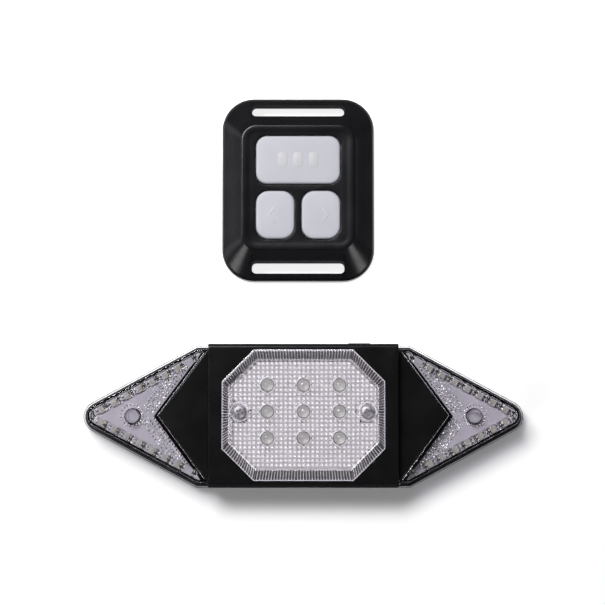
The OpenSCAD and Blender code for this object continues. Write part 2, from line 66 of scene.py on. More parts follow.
# Places taken from the solids
SHELL_LOW, SHELL_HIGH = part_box("lamp_housing")
LENS_LOW, LENS_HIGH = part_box("center_lens")
WING_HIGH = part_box("right_wing_lens")[1]
REMOTE_LOW, REMOTE_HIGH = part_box("remote_housing")
REMOTE_AT = ((REMOTE_LOW + REMOTE_HIGH) / 2).to_2d()
COVER_Z = SHELL_LOW.z
PANEL_Z = SHELL_HIGH.z
PANEL_HALF = SHELL_HIGH.y
GASKET_INSET = 0.5 * MM
SEAM_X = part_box("cover_gasket")[1].x + GASKET_INSET
ARROW_TIP = SHELL_HIGH.x
LENS_Z = LENS_HIGH.z
LENS_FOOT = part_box("lens_gasket")[1].z
WING_Z = WING_HIGH.z

# Sizes of the lamp that the solids share
GAP = 0.2 * MM
SHELL_WALL = 2 * MM
SEAT_DEPTH = 1 * MM
WINDOW_LEDGE = 2.2 * MM
PANEL_BEVEL = 1.4 * MM
PLUG_POCKET = 1 * MM
PLUG_CORNER = 1.2 * MM
PORT_CORNER = 1 * MM
POWER_CORNER = 0.5 * MM
POWER_FLANGES = 1.4 * MM
LENS_WALL = 1.5 * MM
LENS_CORNER = 11.3 * MM
LENS_LEAN = Vector((2.4 * MM, 3.8 * MM))
LENS_TOP_CORNER = LENS_CORNER - 1.6 * MM
LED_PITCH = Vector((12.8 * MM, 9.4 * MM))
LED_SHIFT = 1.1 * MM
LED_PLACES = [(i * LED_PITCH.x, LED_SHIFT + j * LED_PITCH.y) for j in (-1, 0, 1) for i in (-1, 0, 1)]
LED_R = 2.5 * MM
LED_FLANGE = 0.3 * MM
LED_FLANGE_T = 1 * MM
LENS_SCREW_X = 22.7 * MM
LENS_SCREWS = [(side * LENS_SCREW_X, LED_SHIFT) for side in (-1, 1)]
WELL_R = 2.6 * MM
WELL_WALL = 0.6 * MM
SCREW_HEAD_R = 2.1 * MM
SCREW_HEAD_H = 1.4 * MM
LOW_HEAD_H = 1 * MM
SCREW_SHANK_R = 1 * MM
ARROW_STEP = 0.4 * MM
ARM = 1.6 * MM
TIP_R = 5.75 * MM
SHOULDER = 4.4 * MM
FLANGE = 1.4 * MM
FLANGE_T = 1.6 * MM
WING_WALL = 1.2 * MM
WING_TOP = 1.5 * MM
POST_R = 2.5 * MM
POST_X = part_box("wing_screws")[1].x - SCREW_HEAD_R
PILOT_R = 1.05 * MM
TURN_LEDS = 7
TURN_LED_PITCH = 5.15 * MM
TURN_LED_INSET = 4.2 * MM
TURN_LED_SIZE = Vector((3 * MM, 2.2 * MM, 1.4 * MM))
FIRST_TURN_LED = 1.25 * MM

# Sizes of the remote that the solids share
FIELD = Vector((41 * MM, 45.6 * MM))
FIELD_R = 5.5 * MM
REMOTE_R = 11.5 * MM
RIM_Z = 6 * MM
SLOT = Vector((33.5 * MM, 4.4 * MM))
SLOT_R = 1.6 * MM
SLOT_BAR = 2.6 * MM
BACK_T = 1.8 * MM
CEILING_T = 1.6 * MM
HOLLOW = FIELD - Vector((4 * MM, 4.6 * MM))
HOLLOW_R = 3 * MM
KEYS = {"mode_button": "mode_key", "left_button": "left_key", "right_button": "right_key"}
KEY_GAP = 0.25 * MM
KEY_FLANGE = 0.8 * MM
KEY_FLANGE_T = 1.3 * MM
WIDE_KEY_R = 4 * MM
SMALL_KEY_R = 4.6 * MM

# Finer sizes of the lamp that only the looks have
FLARE = 0.25 * MM
SIDE_BEVEL = 0.6 * MM
SEAT_EDGE = 0.2 * MM
ARROW_ROOT = 0.2 * MM
LENS_SIDE = 0.8 * MM
LENS_DRAFT = 0.4 * MM
LENS_EDGE = 0.25 * MM
# Painted shade along the foot of the centre lens's inner walls
LENS_FOOT_SHADE = 0.2
PILLOW_STEPS = 6
PILLOW_FADE = 0.4 * MM
FLUTE_STEPS = 6
RIM_WIDTH = 0.5 * MM
RIM_DROP = 0.75 * MM
RIM_ROOT = 0.4 * MM
# Painted shade on the lower edges of the LED rims
RIM_SHADE = 0.5
WELL_DROP = 0.6 * MM
WELL_FLARE = 0.3 * MM
WASHER_T = 0.2 * MM
CUP_DROP = 1.2 * MM
NOTCH_WALL = 0.6 * MM
POST_FOOT = WING_Z - WING_TOP - 1 * MM
POST_ROOT = 0.6 * MM
POST_ROOM = 0.45 * MM
ARROW_MARGIN = 0.8 * MM
LED_ROOM = 0.4 * MM
WING_STEP = Vector((0.2 * MM, 0.2 * MM))
WING_DRAFT = 0.45 * MM
WING_EDGE = 0.35 * MM
FLANGE_EDGE = 0.15 * MM
STRIP_WIDTH = 2.8 * MM
STRIP_PLAIN = 0.34
PLAIN_RELIEF = 0.1
FACE_RELIEF = 0.06
LENSLETS = 6
LENSLET_ROW = 1.4 * MM
# Painted shade in the valleys between the wings' lenslets
LENSLET_SHADE = 0.7
PIT_PITCH = 1.25 * MM
PIT_DEPTH = 1.2
PIT_MARGIN = 1.6 * MM
PIT_ROWS = 4
PIT_TIP = 1 * MM
POST_RING = POST_R + 0.7 * MM
POST_RING_PITS = 20
LED_WELL_R = 0.85 * MM
LED_WELL_DEPTH = 0.3 * MM
LED_EDGE = 0.1 * MM
SOLDER_PAD = Vector((1.1 * MM, 0.8 * MM, 0.45 * MM))
SOLDER_PAD_R = 0.2 * MM
SOLDER_PAD_EDGE = 0.15 * MM
SOLDER_PAD_AT = Vector((0.35 * MM, 0.6 * MM))
WASHER_HEAD_R = 2.25 * MM
RECESS = Vector((2.4 * MM, 0.56 * MM))
RECESS_DEPTH = 0.6 * MM
LENS_SHANK = 8 * MM
SCREW_TURN = 0.4
SOCKET_EDGE = 0.05 * MM
POUCH_EDGE = 0.6 * MM

# Finer sizes of the remote that only the looks have
FOOT_ROUND = 0.6 * MM
TRAY_SLOPE = 2.2 * MM
KEY_LIP = 0.25 * MM
SLOT_ROUND = 0.4 * MM
KEY_CORNER_MIN = 0.4 * MM
BAR_MARK = Vector((3.4 * MM, 5.4 * MM))
BAR_MARK_R = 1.2 * MM
BAR_MARK_STEP = 5.6 * MM
CHEVRON_MARK = Vector((2.2 * MM, 2.8 * MM))
CHEVRON_STROKE = 0.875 * MM
CHEVRON_SHIFT = 1.8 * MM
MARK_ROOT = 0.3 * MM
MARK_SINK = 0.02 * MM
MARK_EDGE = 0.08 * MM
PAD_MARGIN = 0.12 * MM
PAD_GAP = 0.06 * MM
PAD_EDGE = 0.1 * MM
MEMBRANE_T = 0.15 * MM
CAP_EDGE = 0.12 * MM
CAN_EDGE = 0.3 * MM

# Sizes of the stage, in metres, and its light
FLOOR_SIZE = 4.0
FLOOR_CORNER = 0.1
FLOOR_DROP = 0.02 * MM
WORLD_STRENGTH = 0.42
LEFT_STRIP = 1.45
AIM_X = -0.32 * MM
AIM_Z = 6 * MM

# The sloping edge of a wing and the edge of its black arrow, as in the solids
TIP_X = WING_HIGH.x - TIP_R
EDGE_RUN = TIP_X - SEAM_X - SHOULDER
EDGE_ANGLE = math.asin(TIP_R / math.hypot(EDGE_RUN, PANEL_HALF)) - math.atan2(PANEL_HALF, EDGE_RUN)
EDGE_NORMAL = Vector((-math.sin(EDGE_ANGLE), math.cos(EDGE_ANGLE)))
EDGE_ALONG = Vector((math.cos(EDGE_ANGLE), math.sin(EDGE_ANGLE)))
TIP_SWING = 90 + math.degrees(EDGE_ANGLE)
ARROW_HALF = PANEL_HALF - ARM
ARROW_LEN = ARROW_TIP - SEAM_X
ARROW_NORMAL = Vector((ARROW_HALF, ARROW_LEN)).normalized()
ARROW_REACH = ARROW_LEN * ARROW_NORMAL.x


def linear(code):
    """Linear RGBA of an sRGB hex colour."""
    parts = [int(code[i:i + 2], 16) / 255 for i in (1, 3, 5)]
    return [p / 12.92 if p <= 0.04045 else ((p + 0.055) / 1.055) ** 2.4 for p in parts] + [1.0]


def length(label, words, size):
    """A length property whose default is given in millimetres."""
    return bpy.props.FloatProperty(
        name=label, description=words, default=size * MM, min=0, precision=5, unit="LENGTH")


def colour(label, words, code):
    """A colour property whose default is an sRGB hex colour."""
    return bpy.props.FloatVectorProperty(
        name=label, description=words, default=linear(code), size=4, min=0, max=1, subtype="COLOR")


def power(label, words, watts):
    """A light's power property."""
    return bpy.props.FloatProperty(name=label, description=words, default=watts, min=0, unit="POWER")


class LensSizes(bpy.types.PropertyGroup):
    """Relief moulded into the clear lenses."""

    dimple_pitch: length("Dimple pitch", "Spacing of the pillow prisms under the centre lens", 1.6)
    dimple_depth: length("Dimple depth", "Height of a pillow prism", 0.42)
    window_d: length("LED window", "Outer diameter of the rim over each round LED", 5.1)
    flute_pitch: length("Flute pitch", "Spacing of the flutes round the lens wall", 1.05)
    flute_depth: length("Flute depth", "Depth of a flute", 0.5)
    lenslet_depth: length("Lenslet depth", "Height of the lenslets along the wing edges", 0.45)
    # Painted shade: how dark the valleys between the pillows are tinted, and how rough they are.
    pillow_frost: bpy.props.FloatProperty(
        name="Pillow frost", description="How frosted the valleys between the pillows are",
        default=0.5, min=0, max=1, subtype="FACTOR")


class ShellSizes(bpy.types.PropertyGroup):
    """Rounding of the moulded shells and keys."""

    lamp_edge: length("Lamp edge", "Rounding of the lamp shell's edges", 0.35)
    cover_edge: length("Cover edge", "Rounding of the covers, caps and plugs", 0.2)
    rim_round: length("Remote rim", "Rounding between the remote's side and its slope", 1.4)
    field_round: length("Field edge", "Rounding of the remote's raised field", 0.65)
    tray_depth: length("Tray depth", "How far the keys' tray is sunk into the field", 0.16)
    tray_margin: length("Tray margin", "Width of the field's border round the tray", 1.2)
    key_round: length("Key edge", "Rounding of the keys' upper edge", 0.8)
    key_crown: length("Key crown", "Rise of the keys' tops in the middle", 0.12)
    mark_height: length("Key mark", "Height of the raised marks on the keys", 0.07)


class Finishes(bpy.types.PropertyGroup):
    """Colours of the visible materials."""

    lamp_black: colour("Lamp black", "Satin ABS of the lamp's shell", "#0d0d0e")
    remote_black: colour("Remote black", "Semi-gloss ABS of the remote", "#0f0f12")
    clear: colour("Clear lens", "Clear polycarbonate", "#fdfcfe")
    reflector: colour("Reflector", "White sheets and boards in the wings", "#f6f3f8")
    bright_sheet: colour("Bright sheet", "Metallised sheet behind the centre lens", "#dfdddf")
    key_grey: colour("Key grey", "Keys of the remote", "#aeafb7")
    mark_grey: colour("Mark grey", "Raised marks on the keys", "#b6b5b9")
    phosphor: colour("Phosphor", "Cream phosphor of the flat LEDs", "#dad8c6")
    led_cup: colour("LED cup", "Cup and chip inside the round LEDs", "#b0b1b1")


class Studio(bpy.types.PropertyGroup):
    """Camera and lights."""

    frame_width: length("Frame width", "Width that the picture takes in at the object", 217.9)
    distance: length("Camera distance", "From the camera to the middle of the picture", 900)
    aim_y: length("Aim", "Place of the picture's middle, along Y", 41)
    tilt: bpy.props.FloatProperty(
        name="Camera tilt", description="Lean of the view from straight down", default=math.radians(5.5),
        subtype="ANGLE")
    exposure: bpy.props.FloatProperty(name="Exposure", description="Exposure in stops", default=0)
    key_power: power("Key light", "Power of the main soft light", 18.2)
    front_power: power("Front light", "Power of each front light", 1.6)
    low_power: power("Low light", "Power of the low strip in front, which the one on the left follows", 0.6)


class TurnSignalSettings(bpy.types.PropertyGroup):
    """All settings of the turn signal light."""

    lens: bpy.props.PointerProperty(type=LensSizes)
    shell: bpy.props.PointerProperty(type=ShellSizes)
    finish: bpy.props.PointerProperty(type=Finishes)
    studio: bpy.props.PointerProperty(type=Studio)


def settings():
    return bpy.context.scene.turn_signal


# Outlines, as lists of 2D points that run anticlockwise

def arc(centre, radius, start, end, steps=10):
    """Points along an arc, with its angles in degrees."""
    turns = [math.radians(start + (end - start) * i / steps) for i in range(steps + 1)]
    return [Vector((centre[0] + radius * math.cos(a), centre[1] + radius * math.sin(a))) for a in turns]


def circle(centre, radius, steps=40):
    return arc(centre, radius, 0, 360, steps)[:-1]


def rounded_rect(width, height, radius, centre=(0, 0), steps=10):
    """Rectangle with round corners."""
    x, y = width / 2 - radius, height / 2 - radius
    points = []
    for quarter, corner in enumerate(((x, y), (-x, y), (-x, -y), (x, -y))):
        middle = (centre[0] + corner[0], centre[1] + corner[1])
        points += arc(middle, radius, 90 * quarter, 90 * quarter + 90, steps)
    return points


def octagon(half_x, half_y, cut, inset):
    """Rectangle with cut corners, with every side moved in."""
    x, y = half_x - inset, half_y - inset
    cut -= inset * (2 - math.sqrt(2))
    corners = ((x, cut - y), (x, y - cut), (x - cut, y), (cut - x, y),
               (-x, y - cut), (-x, cut - y), (cut - x, -y), (x - cut, -y))
    return [Vector(c) for c in corners]


def lens_octagon(inset):
    """Foot of the centre lens with every side moved in."""
    return octagon(LENS_HIGH.x, LENS_HIGH.y, LENS_CORNER, inset)


def lens_top(inset):
    """Upper outline of the centre lens with every side moved in."""
    return octagon(LENS_HIGH.x - LENS_LEAN.x, LENS_HIGH.y - LENS_LEAN.y, LENS_TOP_CORNER, inset)


def inset_outline(points, distance):
    """Outline with every side moved in by the distance."""
    moved = []
    for before, here, after in zip(points[-1:] + points[:-1], points, points[1:] + points[:1]):
        a = (here - before).normalized()
        b = (after - here).normalized()
        normal_a = Vector((-a.y, a.x))
        normal_b = Vector((-b.y, b.x))
        moved.append(here + (normal_a + normal_b) * distance / (1 + normal_a.dot(normal_b)))
    return moved


def to_side(points, side):
    """An outline on the right-hand side, or its mirror image on the left."""
    return points if side > 0 else [Vector((-p.x, p.y)) for p in reversed(points)]


def wing_half(x, inset):
    """Half height of a wing at x, with its sloping edge and shoulder moved in."""
    slope = (TIP_R - inset - (x - TIP_X) * EDGE_NORMAL.x) / EDGE_NORMAL.y
    return min(slope, PANEL_HALF - inset)


def arrow_half(x, outset):
    """Half height of the black arrow at x, with its edges moved out."""
    return (ARROW_REACH + outset - (x - SEAM_X) * ARROW_NORMAL.x) / ARROW_NORMAL.y


def beyond_arrow(x, y):
    """Distance of a point outside the black arrow's sloping edges, negative inside them."""
    return (x - SEAM_X) * ARROW_NORMAL.x + abs(y) * ARROW_NORMAL.y - ARROW_REACH


def arrow_apex(outset):
    """Tip of the black arrow with its edges moved out."""
    return Vector((SEAM_X + (ARROW_REACH + outset) / ARROW_NORMAL.x, 0))


def chevron(inset, outset):
    """Outline between a wing's outer edge and its black arrow, on the right-hand side."""
    least = 0.15 * MM
    half = PANEL_HALF - inset
    corner = TIP_X + (TIP_R - inset - half * EDGE_NORMAL.y) / EDGE_NORMAL.x
    wing_rate = EDGE_NORMAL.x / EDGE_NORMAL.y
    arrow_rate = ARROW_NORMAL.x / ARROW_NORMAL.y
    over = arrow_half(corner, outset) - half
    meet = corner + over / (arrow_rate - wing_rate if over > 0 else arrow_rate)
    end = max(SEAM_X + GAP, meet + least)
    corner = max(corner, end + least)
    radius = max(TIP_R - inset, 0.5 * MM)
    middle = TIP_X + (TIP_R - inset - radius) / EDGE_NORMAL.x
    tip = arc((middle, 0), radius, -TIP_SWING, TIP_SWING, 14)
    outer, shoulder, inner = wing_half(end, inset), wing_half(corner, inset), arrow_half(end, outset)
    start = [Vector((end, -outer)), Vector((corner, -shoulder))]
    back = [Vector((corner, shoulder)), Vector((end, outer)), Vector((end, inner))]
    return start + tip + back + [arrow_apex(outset), Vector((end, -inner))]


def quarter_round(radius, steps=4):
    """Inset and drop below the top of each point of a rounded upper edge."""
    turns = [math.pi / 2 * i / steps for i in range(steps + 1)]
    return [(radius * (1 - math.cos(a)), radius * (1 - math.sin(a))) for a in turns]


# Mesh building

def ring(bm, points, z):
    return [bm.verts.new((p.x, p.y, z)) for p in points]


def skin(bm, lower, upper):
    """Faces between two rings of as many points."""
    count = len(lower)
    for i in range(count):
        j = (i + 1) % count
        bm.faces.new((lower[i], lower[j], upper[j], upper[i]))


def skin_all(bm, rings):
    for lower, upper in zip(rings, rings[1:]):
        skin(bm, lower, upper)
    return rings


def loft(bm, sections):
    """Skins sections of (outline, height) and returns their rings."""
    return skin_all(bm, [ring(bm, points, z) for points, z in sections])


def close_ends(bm, rings):
    """Flat faces over the first and the last ring."""
    bm.faces.new(list(reversed(rings[0])))
    bm.faces.new(rings[-1])


def fill(bm, *rings):
    """Flat faces inside the first ring and outside the others."""
    pairs = [(r[i - 1], r[i]) for r in rings for i in range(len(r))]
    edges = [bm.edges.get(pair) or bm.edges.new(pair) for pair in pairs]
    bmesh.ops.triangle_fill(bm, edges=edges, use_beauty=True, normal=(0, 0, 1))


def prism(bm, outline, low, high, top_round=0.0):
    """Closed prism, with a rounded upper edge where one is given."""
    sections = [(outline, low)]
    if top_round:
        sections += [(inset_outline(outline, i), high - d) for i, d in quarter_round(top_round)]
    else:
        sections.append((outline, high))
    close_ends(bm, loft(bm, sections))


def pierced_plate(bm, lines, low, high):
    """Flat plate inside the first line and outside the others."""
    edges = [loft(bm, [(line, low), (line, high)]) for line in lines]
    for level in (0, 1):
        fill(bm, *[rings[level] for rings in edges])


def tube(bm, centre, outer, inner, low, high):
    """Closed ring with square edges."""
    corners = ((outer, low), (outer, high), (inner, high), (inner, low))
    rings = loft(bm, [(circle(centre, radius), z) for radius, z in corners])
    skin(bm, rings[-1], rings[0])


def spin_profile(bm, profile, centre=(0, 0), steps=40):
    """Closed round body from (radius, height) points that start and end on the axis."""
    rings = loft(bm, [(circle(centre, r, steps), z) for r, z in profile[1:-1]])
    for r, (_, z), last in ((rings[0], profile[0], False), (rings[-1], profile[-1], True)):
        pole = bm.verts.new((centre[0], centre[1], z))
        for i in range(steps):
            side = (r[i], r[(i + 1) % steps], pole)
            bm.faces.new(side if last else tuple(reversed(side)))


def mesh_from(bm, name, recalc=True):
    """Mesh of a finished bmesh, with its faces turned outward."""
    if recalc:
        bmesh.ops.recalc_face_normals(bm, faces=bm.faces)
    mesh = bpy.data.meshes.new(name)
    bm.to_mesh(mesh)
    bm.free()
    return mesh


def place(name, mesh):
    """Object of a mesh, at the origin."""
    made = bpy.data.objects.new(name, mesh)
    bpy.context.scene.collection.objects.link(made)
    return made


def solid(name, bm, recalc=True):
    """Object of a finished bmesh, at the origin."""
    return place(name, mesh_from(bm, name, recalc))


def smooth(mesh, angle=32):
    mesh.shade_smooth()
    mesh.set_sharp_from_angle(angle=math.radians(angle))


def keep_result(piece):
    """Turns a piece's modifiers into its plain mesh."""
    depsgraph = bpy.context.evaluated_depsgraph_get()
    mesh = bpy.data.meshes.new_from_object(piece.evaluated_get(depsgraph), depsgraph=depsgraph)
    piece.modifiers.clear()
    old = piece.data
    piece.data = mesh
    bpy.data.meshes.remove(old)
    mesh.name = piece.name


def flatten(piece):
    """Lets the largest faces set the shading, so that flat faces look flat up to their rounded edges."""
    modifier = piece.modifiers.new("flatten", "WEIGHTED_NORMAL")
    modifier.keep_sharp = True
    keep_result(piece)


def finish_piece(piece, body, slot, material, *nodes):
    """Gives a piece its material, its body and the nodes that it stands for."""
    piece.data.materials.clear()
    piece.data.materials.append(material)
    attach(piece, body)
    if nodes:
        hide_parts(*nodes)
    return piece


def dress_node(node, material):
    """Gives a node that stays as it is its finished material."""
    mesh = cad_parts[node].data
    mesh.materials.clear()
    mesh.materials.append(material)


def discard(piece):
    mesh = piece.data
    bpy.data.objects.remove(piece)
    bpy.data.meshes.remove(mesh)


def combine(piece, cutter, operation):
    """Joins a cutter with a piece or cuts it away, and deletes the cutter."""
    modifier = piece.modifiers.new("combine", "BOOLEAN")
    modifier.object = cutter
    modifier.operation = operation
    modifier.solver = "EXACT"
    keep_result(piece)
    discard(cutter)


def round_edges(bm, edges, width, segments):
    bmesh.ops.bevel(bm, geom=edges, offset=width, segments=segments, profile=0.5, affect="EDGES",
                    clamp_overlap=True)


def bends(edge, angle):
    """True for an edge between two faces that meet at more than the angle, in degrees."""
    return len(edge.link_faces) == 2 and edge.calc_face_angle() > math.radians(angle)


def softened(node, width):
    """Copy of a node's mesh with its sharp edges rounded."""
    bm = bmesh.new()
    bm.from_mesh(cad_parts[node].data)
    bmesh.ops.remove_doubles(bm, verts=bm.verts, dist=0.001 * MM)
    bmesh.ops.dissolve_limit(bm, angle_limit=math.radians(1), verts=bm.verts, edges=bm.edges)
    round_edges(bm, [e for e in bm.edges if bends(e, angle=30)], width, segments=2)
    return mesh_from(bm, node + "_moulded", recalc=False)


def soft_copy(name, node, width, body, slot, material):
    """Piece that stands for a node, with rounded edges."""
    mesh = softened(node, width)
    smooth(mesh)
    piece = place(name, mesh)
    flatten(piece)
    return finish_piece(piece, body, slot, material, node)


# Node trees

def add_node(tree, kind, inputs=None, **values):
    """Adds a node with its own settings; each input takes a number, a socket or a node's first output."""
    made = tree.nodes.new(kind)
    for key, value in values.items():
        setattr(made, key, value)
    for key, value in (inputs or {}).items():
        if isinstance(value, bpy.types.Node):
            value = value.outputs[0]
        if isinstance(value, bpy.types.NodeSocket):
            tree.links.new(value, made.inputs[key])
        else:
            made.inputs[key].default_value = value
    return made


def geometry_tree(name, sockets):
    """Geometry node tree with named inputs, and the sockets that they come in by."""
    tree = bpy.data.node_groups.new(name, "GeometryNodeTree")
    tree.interface.new_socket("Geometry", in_out="INPUT", socket_type="NodeSocketGeometry")
    for label, kind in sockets.items():
        tree.interface.new_socket(label, in_out="INPUT", socket_type="NodeSocket" + kind)
    tree.interface.new_socket("Geometry", in_out="OUTPUT", socket_type="NodeSocketGeometry")
    return tree, add_node(tree, "NodeGroupInput").outputs


def close_tree(tree, geometry, material):
    """Ends a tree: real geometry with its material."""
    real = add_node(tree, "GeometryNodeRealizeInstances", {"Geometry": geometry})
    dressed = add_node(tree, "GeometryNodeSetMaterial", {"Geometry": real, "Material": material})
    add_node(tree, "NodeGroupOutput", {"Geometry": dressed})
    return tree


def grow(piece, tree, values):
    """Runs a geometry node tree on a piece with the given inputs and keeps the result as its mesh."""
    modifier = piece.modifiers.new(tree.name, "NODES")
    modifier.node_group = tree
    for item in tree.interface.items_tree:
        if item.item_type == "SOCKET" and item.in_out == "INPUT" and item.name in values:
            modifier[item.identifier] = values[item.name]
    keep_result(piece)


def pillow_tree():
    """Raises a pillow or sinks a pit in every cell of a sheet that carries its cells' places and sizes."""
    tree = bpy.data.node_groups.get("pillow_relief")
    if tree:
        return tree
    tree, given = geometry_tree("pillow_relief", {"Depth": "Float", "Frost": "Float", "Material": "Material"})
    across, along, relief, pit = [
        add_node(tree, "GeometryNodeInputNamedAttribute", {"Name": name}, data_type="FLOAT")
        for name in ("cell_u", "cell_v", "relief", "pit")]
    squares = []
    for cell in (across, along):
        part = add_node(tree, "ShaderNodeMath", {0: cell}, operation="FRACT")
        middle = add_node(tree, "ShaderNodeMath", {0: part, 1: 0.5}, operation="SUBTRACT")
        squares.append(add_node(tree, "ShaderNodeMath", {0: middle, 1: 2.0}, operation="POWER"))
    bulge = add_node(tree, "ShaderNodeMath", {0: squares[0], 1: squares[1]}, operation="ADD")
    # A pillow is a paraboloid that falls to nothing at its cell's corners.
    crown = add_node(tree, "ShaderNodeMath", {0: bulge, 1: -2.0, 2: 1.0}, operation="MULTIPLY_ADD")
    shaped = add_node(tree, "ShaderNodeMath", {0: crown, 1: relief}, operation="MULTIPLY")
    # A pit is a cone about a third of a cell in radius.
    away = add_node(tree, "ShaderNodeMath", {0: bulge}, operation="SQRT")
    cone = add_node(tree, "ShaderNodeMath", {0: away, 1: -3.2, 2: 1.0}, operation="MULTIPLY_ADD")
    spike = add_node(tree, "ShaderNodeMath", {0: cone, 1: 0.0}, operation="MAXIMUM")
    sunk = add_node(tree, "ShaderNodeMath", {0: spike, 1: pit}, operation="MULTIPLY")
    both = add_node(tree, "ShaderNodeMath", {0: sunk, 1: shaped}, operation="SUBTRACT")
    down = add_node(tree, "ShaderNodeMath", {0: both, 1: given["Depth"]}, operation="MULTIPLY")
    # The valleys between the pillows are rougher and carry a painted shade, which tints the lens dark there.
    valley = add_node(tree, "ShaderNodeMapRange", {
        "Value": bulge, "From Min": 0.02, "From Max": 0.12, "To Max": given["Frost"]})
    frost = add_node(tree, "ShaderNodeMath", {0: valley, 1: relief}, operation="MULTIPLY")
    marked = add_node(tree, "GeometryNodeStoreNamedAttribute", {
        "Geometry": given["Geometry"], "Name": "frost", "Value": frost}, data_type="FLOAT", domain="POINT")
    offset = add_node(tree, "ShaderNodeCombineXYZ", {"Z": down})
    moved = add_node(tree, "GeometryNodeSetPosition", {"Geometry": marked, "Offset": offset})
    return close_tree(tree, moved, given["Material"])


def flute_tree():
    """Sinks flutes into a wall that carries its turns of flute, its outward way and where it is fluted."""
    tree, given = geometry_tree("wall_flutes", {"Depth": "Float", "Material": "Material"})
    turns, share, before = [
        add_node(tree, "GeometryNodeInputNamedAttribute", {"Name": name}, data_type="FLOAT")
        for name in ("flute_turn", "fluted", "frost")]
    outward = add_node(tree, "GeometryNodeInputNamedAttribute", {"Name": "outward"}, data_type="FLOAT_VECTOR")
    angle = add_node(tree, "ShaderNodeMath", {0: turns, 1: math.tau}, operation="MULTIPLY")
    wave = add_node(tree, "ShaderNodeMath", {0: angle}, operation="COSINE")
    # The ridges lie a little below the plain wall, and the flutes one depth below the ridges.
    groove = add_node(tree, "ShaderNodeMath", {0: wave, 1: 0.5, 2: -0.64}, operation="MULTIPLY_ADD")
    masked = add_node(tree, "ShaderNodeMath", {0: groove, 1: share}, operation="MULTIPLY")
    sunk = add_node(tree, "ShaderNodeMath", {0: masked, 1: given["Depth"]}, operation="MULTIPLY")
    # The deeper a point lies, the more painted shade it carries, which tints the lens dark in the grooves.
    frost = add_node(tree, "ShaderNodeMath", {0: masked, 1: -1.7, 2: before}, operation="MULTIPLY_ADD")
    marked = add_node(tree, "GeometryNodeStoreNamedAttribute", {
        "Geometry": given["Geometry"], "Name": "frost", "Value": frost}, data_type="FLOAT", domain="POINT")
    offset = add_node(tree, "ShaderNodeVectorMath", {0: outward, "Scale": sunk}, operation="SCALE")
    moved = add_node(tree, "GeometryNodeSetPosition", {"Geometry": marked, "Offset": offset})
    return close_tree(tree, moved, given["Material"])


def copies_tree():
    """Puts a copy of one object on every point, turned about Z by the point's own angle."""
    tree = bpy.data.node_groups.get("placed_copies")
    if tree:
        return tree
    tree, given = geometry_tree("placed_copies", {"Source": "Object", "Material": "Material"})
    source = add_node(tree, "GeometryNodeObjectInfo", {"Object": given["Source"]}, transform_space="ORIGINAL")
    turn = add_node(tree, "GeometryNodeInputNamedAttribute", {"Name": "turn"}, data_type="FLOAT")
    angles = add_node(tree, "ShaderNodeCombineXYZ", {"Z": turn})
    points = add_node(tree, "GeometryNodeMeshToPoints", {"Mesh": given["Geometry"]})
    copies = add_node(tree, "GeometryNodeInstanceOnPoints", {
        "Points": points, "Instance": source.outputs["Geometry"], "Rotation": angles})
    return close_tree(tree, copies, given["Material"])


def place_copies(name, source_bm, points, material):
    """One piece with a copy of the source at each (point, turn)."""
    bm = bmesh.new()
    turns = bm.verts.layers.float.new("turn")
    for point, turn in points:
        bm.verts.new(point)[turns] = turn
    piece = solid(name, bm, recalc=False)
    source = solid(name + "_source", source_bm)
    grow(piece, copies_tree(), {"Source": source, "Material": material})
    discard(source)
    smooth(piece.data)
    return piece


# Materials

def new_material(name):
    """Empty material, its tree and the piece's own coordinates."""
    made = bpy.data.materials.new(name)
    made.use_nodes = True
    made.node_tree.nodes.clear()
    return made, made.node_tree, add_node(made.node_tree, "ShaderNodeTexCoord").outputs["Object"]


def once(make):
    """Makes a material the first time that it is asked for."""
    return lambda: bpy.data.materials.get(make.__name__) or make(make.__name__)


def cloudy_surface(tree, cloud, base, spread, rough, inputs):
    """Opaque surface whose colour and roughness vary with a cloudy pattern; rough holds its two ends."""
    ramp = add_node(tree, "ShaderNodeValToRGB", {"Fac": cloud})
    for element, position, share in zip(ramp.color_ramp.elements, (0.3, 0.7), (1 - spread, 1 + spread)):
        element.position = position
        element.color = [min(1, c * share) for c in base[:3]] + [1]
    gloss = add_node(tree, "ShaderNodeMapRange", {"Value": cloud, "To Min": rough[0], "To Max": rough[1]})
    shader = add_node(tree, "ShaderNodeBsdfPrincipled", {"Base Color": ramp, "Roughness": gloss, **inputs})
    add_node(tree, "ShaderNodeOutputMaterial", {"Surface": shader})


def clear_surface(tree, passing, inputs):
    """Clear plastic: the view bends through it, and light passes straight and tinted to what lies below."""
    shader = add_node(tree, "ShaderNodeBsdfPrincipled", {"Transmission Weight": 1.0, **inputs})
    path = add_node(tree, "ShaderNodeLightPath").outputs
    straight = add_node(tree, "ShaderNodeMath", {
        0: path["Is Shadow Ray"], 1: path["Is Diffuse Ray"]}, operation="MAXIMUM")
    through = add_node(tree, "ShaderNodeBsdfTransparent", {"Color": linear(passing)})
    both = add_node(tree, "ShaderNodeMixShader", {0: straight, 1: shader, 2: through})
    add_node(tree, "ShaderNodeOutputMaterial", {"Surface": both})


def moulded(name, base, rough, grain, depth, spread=0.12, specular=0.5):
    """Moulded plastic or rubber: a fine eroded grain, in millimetres, and slightly uneven gloss."""
    made, tree, spot = new_material(name)
    fine = add_node(tree, "ShaderNodeTexNoise", {"Vector": spot, "Scale": 1 / (grain * MM)})
    cloud = add_node(tree, "ShaderNodeTexNoise", {"Vector": spot, "Scale": 1 / (9 * MM)})
    bump = add_node(tree, "ShaderNodeBump", {"Height": fine, "Strength": 1.0, "Distance": depth * MM})
    cloudy_surface(tree, cloud, base, spread, rough=(rough - 0.06, rough + 0.06), inputs={
        "Normal": bump, "IOR": 1.53, "Specular IOR Level": specular})
    return made


@once
def satin_abs(name):
    # Injection-moulded ABS with a fine spark-eroded grain: a soft, even sheen.
    return moulded(name, settings().finish.lamp_black, rough=0.22, grain=0.35, depth=0.002, specular=0.32)


